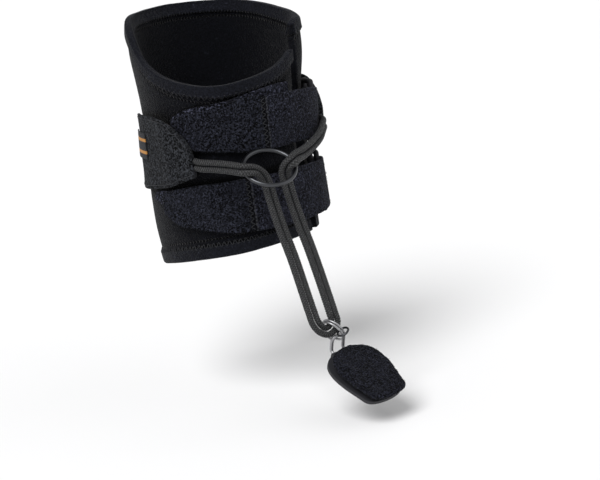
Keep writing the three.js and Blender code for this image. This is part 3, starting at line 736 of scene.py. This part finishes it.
def zigzag(trees, path, width):
    """Zigzag row along a path of (along, height) points, leaning by turns to each side of it."""
    row = []
    for i, (before, here, after) in enumerate(zip([path[0], *path], path, [*path[1:], path[-1]])):
        step = Vector((after[0] - before[0], after[1] - before[1])).normalized()
        side = (width / 2) * (1 if i % 2 else -1)
        hit = on_leg(trees, here[0] - step.y * side, here[1] + step.x * side)
        if hit:
            row.append(hit)
    return row


def lengths_along(line):
    """Length of a line of points up to each of them."""
    return np.concatenate([[0], np.cumsum(np.linalg.norm(np.diff(line, axis=0), axis=1))])


def spaced(points, step):
    """The same path with evenly spaced points."""
    line = np.array(points, float)
    lengths = lengths_along(line)
    count = max(2, int(round(lengths[-1] / step)) + 1)
    at = np.linspace(0, lengths[-1], count)
    columns = [np.interp(at, lengths, line[:, i]) for i in range(line.shape[1])]
    return [tuple(row) for row in np.stack(columns, 1)]


def rim_line(node, top):
    """Height of a rim by length round the cuff, from the binding's solid."""
    places = points_of(NODES[node].data)
    radii = np.hypot(places[:, 0], places[:, 1])
    turns = np.round(turns_of(places), 3)
    line = []
    for turn in np.unique(turns):
        near = places[(turns == turn) & (radii > 0.042)]
        if len(near):
            line.append((turn * WRAP_RADIUS, near[:, 2].max() if top else near[:, 2].min()))
    return line


def fibres(piece, count, length, name, seed):
    """Loose fibres on a brushed piece: short curved hairs that lean in all directions."""
    random = np.random.default_rng(seed)
    mesh = piece.data
    mesh.calc_loop_triangles()
    triangles = np.array([triangle.vertices[:] for triangle in mesh.loop_triangles])
    corners = points_of(mesh)[triangles]
    crosses = np.cross(corners[:, 1] - corners[:, 0], corners[:, 2] - corners[:, 0])
    areas = np.linalg.norm(crosses, axis=1)
    middles = corners.mean(axis=1)
    outward = (crosses[:, :2] * middles[:, :2]).sum(axis=1) > -1e-12
    weights = areas * outward
    chosen = random.choice(len(triangles), count, p=weights / weights.sum())
    form = rod(3, 0)
    for vertex in form.data.vertices:
        vertex.co.z += 2.2 * (0.25 - vertex.co.x ** 2) * 4
    frames = []
    for index in chosen:
        spot = corners[index].T @ random.dirichlet((1, 1, 1))
        normal = Vector(crosses[index]).normalized()
        lean = Vector(random.normal(size=3))
        along = (lean - normal * lean.dot(normal)).normalized() + normal * random.uniform(-0.1, 0.9)
        along = along.normalized() * length * random.uniform(0.5, 1.3)
        across = normal.cross(along).normalized() * FIBRE_WIDTH
        out = along.cross(across).normalized() * FIBRE_WIDTH * 2
        frames.append(frame_of(along, across, out, Vector(spot) + along * 0.4))
    return repeat(form, frames, name)


# Cords, in metres: the middle of the pair, then the direction towards the inner cord

CORD_ROUTE = [
    (-0.039753, -0.031884, 0.004, 0, 0, 1),
    (-0.0386, -0.0358, 0.0034, 0, 0, 1),
    (-0.0346, -0.044, 0.0029, 0, 0, 1),
    (-0.031, -0.0534, 0.0023, 0.1, 0.1, 1),
    (-0.028, -0.0629, 0.0014, 0.45, 0.3, 0.84),
    (-0.0216, -0.065, -0.0001, 0.5, 0.5, 0.7),
    (-0.017, -0.0644, -0.0044, 0.85, 0.1, 0.5),
    (-0.0152, -0.0652, -0.0103, 1, 0, 0.1),
    (-0.0146, -0.0667, -0.018, 1, 0, 0),
    (-0.0129, -0.0694, -0.033, 1, 0, 0),
    (-0.0103, -0.0737, -0.052, 1, 0, 0),
    (-0.0091, -0.079, -0.071, 1, 0, 0),
    (-0.0087, -0.0823, -0.081, 1, 0, 0.1),
    (-0.008, -0.0836, -0.0865, 0.95, 0, 0.3),
    (-0.0056, -0.084, -0.0906, 0.7, 0.2, 0.7),
    (-0.0019, -0.0842, -0.093, 0.1, 0.4, 0.95),
    (0.0016, -0.0842, -0.0923, -0.5, 0.43, 0.75),
    (0.0041, -0.084, -0.0888, -0.95, 0.2, 0.3),
    (0.0039, -0.0832, -0.0845, -1, 0, 0),
    (0.0032, -0.0797, -0.072, -1, 0, 0),
    (0.0013, -0.074, -0.05, -1, 0, 0),
    (-0.0009, -0.0698, -0.033, -1, 0, 0),
    (-0.0024, -0.0669, -0.02, -1, 0, 0),
    (-0.0033, -0.0656, -0.0105, -1, 0.1, 0.1),
    (-0.004, -0.066, -0.005, -0.9, 0.25, 0.3),
    (-0.0032, -0.0682, -0.001, -0.7, 0.6, 0.4),
    (-0.0004, -0.0695, 0.0012, -0.5, 0.6, 0.6),
    (0.0043, -0.0667, 0.0023, -0.35, 0.4, 0.85),
    (0.0122, -0.0604, 0.0021, -0.1, 0.1, 1),
    (0.0258, -0.0502, 0.0032, 0, 0, 1),
    (0.035, -0.0444, 0.006, 0, 0, 1),
    (0.0424, -0.0372, 0.0089, 0, 0, 1),
    (0.0475, -0.0308, 0.01, 0, 0, 1),
    (0.050076, -0.023066, 0.0105, 0, 0, 1),
]
CORD_DIAMETER = 0.0033
CORD_SPACING = 0.00385


def smooth_line(points, step):
    """Evenly spaced places on a smooth curve through points, which doesn't overshoot at close ones."""
    points = [Vector(point) for point in points]
    points = [points[0] * 2 - points[1], *points, points[-1] * 2 - points[-2]]
    line = []
    for a, b, c, d in zip(points[:-3], points[1:-2], points[2:-1], points[3:]):
        t1 = (b - a).length ** 0.5
        t2 = t1 + (c - b).length ** 0.5
        t3 = t2 + (d - c).length ** 0.5
        for t in np.linspace(t1, t2, 60, endpoint=False):
            ab = a + (b - a) * (t / t1)
            bc = b + (c - b) * ((t - t1) / (t2 - t1))
            cd = c + (d - c) * ((t - t2) / (t3 - t2))
            abc = ab + (bc - ab) * (t / t2)
            bcd = bc + (cd - bc) * ((t - t1) / (t3 - t1))
            line.append(tuple(abc + (bcd - abc) * ((t - t1) / (t2 - t1))))
    line.append(tuple(points[-2]))
    return np.array(spaced(line, step))


def braided_cord(name, line, radius, pitch, depth):
    """Tube along a line whose surface is a braid of slanting ribs."""
    tangents = np.gradient(line, axis=0)
    tangents /= np.linalg.norm(tangents, axis=1)[:, None]
    side = np.cross(tangents[0], (0, 0, 1))
    frames = []
    for tangent in tangents:
        side = side - tangent * side.dot(tangent)
        side /= np.linalg.norm(side)
        frames.append((side, np.cross(tangent, side)))
    waves = FULL_TURN * lengths_along(line)[:, None] / pitch
    turns = np.arange(BRAID_SIDES) * 2 * math.pi / BRAID_SIDES
    right = waves + 4 * turns
    left = waves - 4 * turns
    over = np.sin(right / 2) * np.sin(left / 2) > 0
    rib = np.where(over, 0.5 + 0.5 * np.cos(right), 0.5 + 0.5 * np.cos(left))
    yarn = np.where(over, right, left) / FULL_TURN
    radii = radius + depth * (rib - 0.6)
    axes = np.array(frames)
    rings = (
        line[:, None]
        + axes[:, None, 0] * (radii * np.cos(turns))[:, :, None]
        + axes[:, None, 1] * (radii * np.sin(turns))[:, :, None]
    )
    ring = range(BRAID_SIDES)
    last = (len(line) - 1) * BRAID_SIDES
    faces = []
    for start in range(0, last, BRAID_SIDES):
        for j in ring:
            k = (j + 1) % BRAID_SIDES
            faces.append((start + j, start + k, start + BRAID_SIDES + k, start + BRAID_SIDES + j))
    faces.append(tuple(reversed(ring)))
    faces.append(tuple(last + j for j in ring))
    mesh = bpy.data.meshes.new(name)
    mesh.from_pydata(rings.reshape(-1, 3).tolist(), [], faces)
    piece = add_object(name, mesh)
    note(piece, "rib", rib)
    note(piece, "yarn", yarn % 1)
    with edit_mode():
        bpy.ops.mesh.normals_make_consistent(inside=False)
    bpy.ops.object.shade_smooth_by_angle(angle=math.radians(60))
    return piece


class MakeCords(bpy.types.Operator):
    """Makes the two elastic cords with their braided cover."""

    bl_idname = "brace.make_cords"
    bl_label = "Cords"

    def execute(self, context):
        sizes = context.scene.brace_sizes
        for node, side in (("inner_cord", 1), ("outer_cord", -1)):
            points = [
                Vector(row[:3]) + Vector(row[3:]).normalized() * side * CORD_SPACING / 2 for row in CORD_ROUTE
            ]
            line = smooth_line(points, 0.2 * MM)
            piece = braided_cord(node + "_braid", line, CORD_DIAMETER / 2, sizes.rib_pitch, sizes.rib_depth)
            hand_over(piece, material("cord_braid"), "cord", node)
        return {"FINISHED"}


class MakeCuff(bpy.types.Operator):
    """Makes the padded cuff and the binding on its rims."""

    bl_idname = "brace.make_cuff"
    bl_label = "Cuff"

    def execute(self, context):
        cuff = take_shape("cuff", "cuff_body")
        soften(cuff, 1.1 * MM, 2, 50)
        tapes = []
        for node, top in RIMS:
            tape = take_shape(node, node + "_tape")
            roll_rim(tape, 1 if top else -1, 1.7 * MM)
            soften(tape, 0.3 * MM, 1, 50)
            tapes.append(tape)
        pinch_rims(cuff, *tapes)
        crumple(cuff, 0.55 * MM, 0.022, 1)
        swell(cuff, -10 * MM, 10 * MM, 1.8 * MM)
        for piece in (cuff, *tapes):
            wrap_map(piece)
            rim_map(piece)
        parts = ("_strap", "_strap_tip", "_under_layer")
        covers = [level + part for level in ("upper", "lower") for part in parts]
        # Notes where the straps and tabs close over the cuff, for the knit's painted shade.
        painted_shade_map(cuff, *(NODES[node] for node in (*covers, "left_tab", "right_tab")))
        hand_over(cuff, material("cuff_knit"), "cuff_foam", "cuff")
        for tape, (node, _) in zip(tapes, RIMS):
            crumple(tape, 0.18 * MM, 0.008, 2)
            hand_over(tape, material("binding_knit"), "binding", node)
        return {"FINISHED"}


def cloth(node, name, edge, look, slot, creases=None):
    """Makes a piece of cloth from a solid: rolled edges, soft unevenness and a UV map round the leg."""
    piece = take_shape(node, name)
    soften(piece, edge)
    if creases:
        crumple(piece, *creases)
    wrap_map(piece)
    return hand_over(piece, material(look), slot, node)


class MakeStraps(bpy.types.Operator):
    """Makes the brushed straps, their tips and the layers they lie on."""

    bl_idname = "brace.make_straps"
    bl_label = "Straps"

    def execute(self, context):
        sizes = context.scene.brace_sizes
        pieces = (
            ("upper_under_layer", "under_pile", "fuzzy_loop", 0.5, (0.027, 0.076), "laid"),
            ("lower_under_layer", "under_pile", "fuzzy_loop", 0.5, (0.023, 0.098), "laid"),
            ("upper_strap", "upper_pile", "fuzzy_loop", 1.0, (0.029, 0.128), "folded"),
            ("lower_strap", "lower_pile", "fuzzy_loop", 1.0, (0.030, 0.120), "folded"),
            ("upper_strap_tip", "tip_pile", "strap_tip", 0.9, (0.026, 0.053), "laid"),
            ("lower_strap_tip", "tip_pile", "strap_tip", 0.9, (0.026, 0.056), "laid"),
        )
        for seed, (node, look, slot, edge, flat, held) in enumerate(pieces):
            creases = (0.3 * MM, 0.012, seed)
            piece = cloth(node, node + "_cloth", edge * sizes.edge_round, look, slot, creases)
            lint = fibres(piece, 700, sizes.fibre_length, node + "_fibres", seed)
            hand_over(lint, material("lint"), slot)
        return {"FINISHED"}


class MakeTabs(bpy.types.Operator):
    """Makes the side tabs, their hook layers and the plain badge."""

    bl_idname = "brace.make_tabs"
    bl_label = "Side tabs"

    def execute(self, context):
        sizes = context.scene.brace_sizes
        for seed, side in enumerate(("left", "right")):
            node = side + "_tab"
            creases = (0.35 * MM, 0.014, 7 + seed)
            tab = cloth(node, node + "_cloth", 0.8 * sizes.edge_round, "tab_pile", "tab_fabric", creases)
            hook = cloth(node + "_hook", node + "_hook_tape", 0.3 * MM, "hook_tape", "hook_tape")
        badge = cloth("badge", "badge_label", 0.25 * MM, "badge_weave", "badge")
        return {"FINISHED"}


class MakeBuckles(bpy.types.Operator):
    """Makes the rectangular rings and the webbing loops that hold them."""

    bl_idname = "brace.make_buckles"
    bl_label = "Buckles"

    def execute(self, context):
        for level in ("upper", "lower"):
            buckle = take_shape(level + "_buckle", level + "_buckle_body")
            limit = {"limit_method": "ANGLE", "angle_limit": math.radians(25)}
            finish_with(buckle, "BEVEL", width=0.35 * MM, segments=2, **limit)
            only(buckle)
            bpy.ops.object.shade_smooth_by_angle(angle=math.radians(50))
            hand_over(buckle, material("plastic"), "plastic", level + "_buckle")
            node = level + "_webbing_loop"
            loop = cloth(node, level + "_webbing_cloth", 0.35 * MM, "webbing", "webbing")
        return {"FINISHED"}


def wire_ring(name, radius, wire, matrix, steps):
    """Round ring of wire in so many steps, placed by a matrix."""
    bpy.ops.object.select_all(action="DESELECT")
    bpy.ops.mesh.primitive_torus_add(
        major_radius=radius, minor_radius=wire / 2, major_segments=steps, minor_segments=20
    )
    ring = bpy.context.object
    ring.name = name
    ring.data.transform(matrix)
    return smooth(ring)


def wire_along(name, points, wire):
    """Bent wire along a line of points, with rounded ends."""
    curve = bpy.data.curves.new(name, "CURVE")
    curve.dimensions = "3D"
    spline = curve.splines.new("POLY")
    spline.points.add(len(points) - 1)
    for point, place in zip(spline.points, points):
        point.co = (*place, 1)
    curve.bevel_depth = wire / 2
    curve.bevel_resolution = 6
    curve.use_fill_caps = True
    add_object(name, curve)
    bpy.ops.object.convert(target="MESH")
    piece = bpy.context.object
    bpy.ops.object.shade_smooth_by_angle(angle=math.radians(50))
    return piece


GATHERING_RING_RADIUS = 14.3 * MM
GATHERING_RING_WIRE = 2.3 * MM
SPLIT_RING_RADIUS = 6.9 * MM
SPLIT_RING_WIRE = 1.25 * MM
SPLIT_RING_PITCH = 1.6 * MM
SPLIT_RING_TURNS = 1.85
LINK_RING_RADIUS = 3.2 * MM
LINK_RING_WIRE = 1.2 * MM
BAIL_WIRE = 2.0 * MM
BAIL_SHAPE = [
    (-1, 0, 0), (-1, 0.45, 0.08), (-1, 0.78, 0.45), (-0.95, 0.95, 0.8), (-0.6, 1, 0.97), (0, 1, 1),
    (0.6, 1, 0.97), (0.95, 0.95, 0.8), (1, 0.78, 0.45), (1, 0.45, 0.08), (1, 0, 0),
]


class MakeRings(bpy.types.Operator):
    """Makes the gathering ring, the split ring, the link ring and the bail."""

    bl_idname = "brace.make_rings"
    bl_label = "Rings"

    def execute(self, context):
        lean = Matrix.Rotation(math.radians(-11), 4, "Z") @ Matrix.Rotation(math.radians(33), 4, "X")
        place = Matrix.Translation(Vector((-11.2, -62.5, -0.8)) * MM) @ lean
        ring = wire_ring("gathering_ring_wire", GATHERING_RING_RADIUS, GATHERING_RING_WIRE, place, 128)
        # Notes where the cuff closes over the ring, for painted shade on its back arc.
        painted_shade_map(ring, bpy.data.objects["cuff_body"], reach=22 * MM, every=True)
        hand_over(ring, material("dark_steel"), "steel", "gathering_ring")

        down = Vector((0.5, -0.43, -0.75)).normalized()
        out = Vector((-0.05, -0.88, 0.47))
        out = (out - down * out.dot(down)).normalized()
        axis = down.cross(out)
        middle = Vector((2.3, -83.7, -93.7)) * MM
        turns = np.linspace(0, SPLIT_RING_TURNS, 150)
        coil = [
            middle
            + down * SPLIT_RING_RADIUS * math.cos(FULL_TURN * turn)
            + out * SPLIT_RING_RADIUS * math.sin(FULL_TURN * turn)
            + axis * SPLIT_RING_PITCH * (turn - SPLIT_RING_TURNS / 2)
            for turn in turns
        ]
        split = wire_along("split_ring_wire", coil, SPLIT_RING_WIRE)
        hand_over(split, material("steel"), "steel", "split_ring")

        low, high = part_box("link_ring")
        turn = math.radians(60)
        along = -down * math.sin(turn) + out * math.cos(turn)
        lean = Vector((0, 0, 1)).rotation_difference(along).to_matrix().to_4x4()
        place = Matrix.Translation((low + high) / 2) @ lean
        link = wire_ring("link_ring_wire", LINK_RING_RADIUS, LINK_RING_WIRE, place, 64)
        hand_over(link, material("dark_steel"), "steel", "link_ring")

        clip = Matrix.Translation(Vector((7.3, -87.4, -105.5)) * MM)
        clip = clip @ Matrix.Rotation(math.radians(7), 4, "Z") @ Matrix.Rotation(math.radians(30), 4, "X")
        points = [
            clip @ (Vector((-2.2 + 4.25 * x, 2.95 + 3.5 * y, -2.8 + 9 * z)) * MM) for x, y, z in BAIL_SHAPE
        ]
        bail = wire_along("bail_wire", smooth_line(points, 0.4 * MM), BAIL_WIRE)
        hand_over(bail, material("steel"), "steel", "bail")
        return {"FINISHED"}


def puff(piece, most):
    """Fills a padded piece with air by a short cloth simulation, and caps how far a point may move."""
    before = points_of(piece.data).copy()
    only(piece)
    cloth = piece.modifiers.new("Cloth", "CLOTH")
    cloth.settings.use_pressure = True
    cloth.settings.uniform_pressure_force = 4
    cloth.settings.effector_weights.gravity = 0
    cloth.point_cache.frame_end = PUFF_FRAMES
    for frame_number in range(1, PUFF_FRAMES + 1):
        bpy.context.scene.frame_set(frame_number)
    bpy.ops.object.modifier_apply(modifier=cloth.name)
    bpy.context.scene.frame_set(1)
    after = points_of(piece.data)
    shift = after - before
    reach = np.linalg.norm(shift, axis=1)[:, None]
    shift *= np.minimum(1, most / np.maximum(reach, 1e-9))
    piece.data.vertices.foreach_set("co", (before + shift).ravel())
    piece.data.update()


class MakeClip(bpy.types.Operator):
    """Makes the clip that goes under the laces: pad, plate and lug."""

    bl_idname = "brace.make_clip"
    bl_label = "Lace clip"

    def execute(self, context):
        pad = take_shape("lace_pad", "lace_pad_cloth")
        finish_with(pad, "REMESH", mode="VOXEL", voxel_size=0.6 * MM)
        finish_with(pad, "SMOOTH", iterations=9, factor=0.5)
        puff(pad, 0.7 * MM)
        smooth(pad)
        crumple(pad, 0.25 * MM, 0.006, 11)
        hand_over(pad, material("pad_pile"), "fuzzy_loop", "lace_pad")
        lint = fibres(pad, 500, context.scene.brace_sizes.fibre_length, "lace_pad_fibres", 20)
        hand_over(lint, material("lint"), "fuzzy_loop")
        for node in ("lace_plate", "clip_lug"):
            piece = take_shape(node, node + "_body")
            soften(piece, 0.4 * MM, 3, 60)
            hand_over(piece, material("plastic"), "plastic", node)
        return {"FINISHED"}


class MakeStitching(bpy.types.Operator):
    """Sews the rims, the strap seams, the tabs and the webbing."""

    bl_idname = "brace.make_stitching"
    bl_label = "Stitching"

    def execute(self, context):
        sizes = context.scene.brace_sizes
        step = sizes.stitch_length
        piece = bpy.data.objects

        def sew(name, rows, slot):
            frames = stitch_frames([row for row in rows if len(row) > 1], sizes.thread_width)
            sewn = repeat(rod(6, -0.22, 0.22), frames, name)
            hand_over(sewn, material("thread"), slot)

        for (node, top), inset in zip(RIMS, (-6.6 * MM, 7.4 * MM)):
            trees = surface(piece["cuff_body"], piece[node + "_tape"])
            path = [(along, height + inset) for along, height in rim_line(node, top)]
            rows = [zigzag(trees, spaced(part, step * 0.62), 3.0 * MM) for part in split_at_gap(path)]
            sew(node + "_stitches", rows, "binding")

        rows = []
        for level, seam in SEAMS.items():
            strap = piece[level + "_strap_cloth"]
            tip = piece[level + "_strap_tip_cloth"]
            along = seam * WRAP_RADIUS
            low, high = span_at(NODES[level + "_strap"], seam)
            path = spaced([(along, low + 1.2 * MM), (along, high - 1.2 * MM)], step * 0.6)
            rows.append(zigzag(surface(strap, tip), path, 2.4 * MM))
        sew("seam_stitches", rows, "strap_tip")

        rows = []
        for side in ("left", "right"):
            tab = piece[side + "_tab_cloth"]
            outline = outline_of(NODES[side + "_tab"], 2.0 * MM)
            rows.append(straight(surface(tab), spaced(outline, step * 0.95)))
        sew("tab_stitches", rows, "tab_fabric")

        rows = []
        for level in ("upper", "lower"):
            loop = piece[level + "_webbing_cloth"]
            low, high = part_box(level + "_webbing_loop")
            bottom, top = low.z + 2.5 * MM, high.z - 2.5 * MM
            front, rear = math.radians(92) * WRAP_RADIUS, math.radians(109) * WRAP_RADIUS
            box = [(front, bottom), (rear, bottom), (rear, top), (front, top), (front, bottom), (rear, top)]
            rows.append(straight(surface(loop), spaced(box, step)))
        sew("webbing_stitches", rows, "webbing")
        return {"FINISHED"}


def split_at_gap(path):
    """A path round the cuff, cut at the opening between the panels."""
    before = [point for point in path if point[0] < PANEL_GAP]
    return [before, path[len(before):]]


def straight(trees, path):
    """Plain row of stitches along a path of (along, height) points, with gaps between them."""
    return [hit for hit in (on_leg(trees, *point) for point in path) if hit]


def span_at(node, turn):
    """Lowest and highest place of a solid near a turn round the leg."""
    places = points_of(node.data)
    turns = turns_of(places)
    near = places[np.abs(turns - turn) < math.radians(3)]
    return near[:, 2].min(), near[:, 2].max()


def outline_of(node, inset):
    """Closed outline of a wrapped solid, a little inside its edge, as (along, height) points."""
    places = points_of(node.data)
    turns = turns_of(places)
    low, high = turns.min(), turns.max()
    tops, bottoms = [], []
    for turn in np.linspace(low + inset / WRAP_RADIUS, high - inset / WRAP_RADIUS, 26):
        near = places[np.abs(turns - turn) < math.radians(2.6)]
        if len(near):
            tops.append((turn * WRAP_RADIUS, near[:, 2].max() - inset))
            bottoms.append((turn * WRAP_RADIUS, near[:, 2].min() + inset))
    return [*bottoms, *reversed(tops), bottoms[0]]


# Stage


class MakeStage(bpy.types.Operator):
    """Makes the floor, the lights and the camera."""

    bl_idname = "brace.make_stage"
    bl_label = "Stage"

    def execute(self, context):
        settings = context.scene.brace_stage
        bpy.ops.object.select_all(action="DESELECT")
        bpy.ops.mesh.primitive_plane_add(size=14, location=(0, 0, settings.floor_height))
        floor = bpy.context.object
        floor.name = "floor"
        paint = Finish("floor_paint", specular_ior_level=0.1, roughness=0.9)
        tone = paint.cloud(3, 2.0)
        paint.colour(paint.mix(tone * 0.06, tuple(settings.floor_colour), shade(settings.floor_colour, 0.9)))
        floor.data.materials.append(paint.material)

        context.scene.view_settings.view_transform = "Standard"
        world = bpy.data.worlds.new("room")
        world.use_nodes = True
        background = world.node_tree.nodes["Background"]
        background.inputs["Color"].default_value = (1, 1, 1, 1)
        context.scene.world = world
        light_world(world.node_tree, background, settings.world_light)

        for name, azimuth, elevation, spread, power in (
            ("key", -62, 52, 35, settings.key_power),
            ("fill", 40, 30, 60, settings.key_power * 0.2),
        ):
            light = bpy.data.lights.new(name, "SUN")
            light.angle = math.radians(spread)
            light.energy = power
            lamp = add_object(name, light)
            lamp.rotation_mode = "QUATERNION"
            lamp.rotation_quaternion = direction(azimuth, elevation).to_track_quat("Z", "Y")

        camera = add_object("camera", bpy.data.cameras.new("camera"))
        camera.data.lens = settings.lens
        camera.data.sensor_width = SENSOR_WIDTH
        camera.data.clip_start = 0.05
        camera.data.clip_end = 30
        camera.matrix_world = camera_place(**CAMERA_VIEW)
        context.scene.camera = camera
        return {"FINISHED"}


def light_world(tree, background, strength):
    """Even light from above that turns white towards the horizon, where it meets the floor."""
    place = tree.nodes.new("ShaderNodeTexCoord")
    split = tree.nodes.new("ShaderNodeSeparateXYZ")
    fade = tree.nodes.new("ShaderNodeMapRange")
    for name, value in (("From Min", 0.08), ("From Max", 0.35), ("To Min", 0.9), ("To Max", strength)):
        fade.inputs[name].default_value = value
    tree.links.new(place.outputs["Generated"], split.inputs[0])
    tree.links.new(split.outputs["Z"], fade.inputs["Value"])
    tree.links.new(fade.outputs[0], background.inputs["Strength"])


def direction(azimuth, elevation):
    """Unit vector towards a place seen at an azimuth from the front and an elevation, in degrees."""
    azimuth, elevation = math.radians(azimuth), math.radians(elevation)
    flat = math.cos(elevation)
    return Vector((math.sin(azimuth) * flat, -math.cos(azimuth) * flat, math.sin(elevation)))


def camera_place(azimuth, elevation, roll, distance):
    """Camera that looks at the cuff and shows it up and left of the middle, with the leg leaning left."""
    away = direction(azimuth, elevation)
    look = -away
    right = look.cross(Vector((0, 0, 1))).normalized()
    up = right.cross(look)
    across = math.cos(roll) * right - math.sin(roll) * up
    upright = math.sin(roll) * right + math.cos(roll) * up
    pixel = SENSOR_WIDTH / LENS / PICTURE_WIDTH
    left, high = CUFF_OFFSET
    aim = (look + across * left * pixel - upright * high * pixel).normalized()
    turn = look.rotation_difference(aim)
    return frame_of(turn @ across, turn @ upright, -aim, away * distance)


# Panel


class BracePanel(bpy.types.Panel):
    """Lists the brace's sizes, colours and pieces."""

    bl_idname = "BRACE_PT_panel"
    bl_label = "Foot drop brace"
    bl_space_type = "VIEW_3D"
    bl_region_type = "UI"
    bl_category = "Brace"

    def draw(self, context):
        for group in (context.scene.brace_sizes, context.scene.brace_colours, context.scene.brace_stage):
            box = self.layout.box()
            for name in group.__annotations__:
                box.prop(group, name)
        for operator in OPERATORS:
            self.layout.operator(operator.bl_idname)


OPERATORS = (
    MakeStage,
    MakeCords,
    MakeCuff,
    MakeStraps,
    MakeTabs,
    MakeBuckles,
    MakeRings,
    MakeClip,
    MakeStitching,
)
GROUPS = {"brace_sizes": BraceSizes, "brace_colours": BraceColours, "brace_stage": StageSettings}


def register():
    for group in GROUPS.values():
        bpy.utils.register_class(group)
    for name, group in GROUPS.items():
        setattr(bpy.types.Scene, name, PointerProperty(type=group))
    for item in (*OPERATORS, BracePanel):
        bpy.utils.register_class(item)


def unregister():
    for item in reversed((*OPERATORS, BracePanel)):
        bpy.utils.unregister_class(item)
    for name in GROUPS:
        delattr(bpy.types.Scene, name)
    for group in reversed(GROUPS.values()):
        bpy.utils.unregister_class(group)


def main():
    register()
    for operator in OPERATORS:
        group, name = operator.bl_idname.split(".")
        getattr(getattr(bpy.ops, group), name)()
    bpy.context.view_layer.update()


if __name__ == "__main__":
    main()
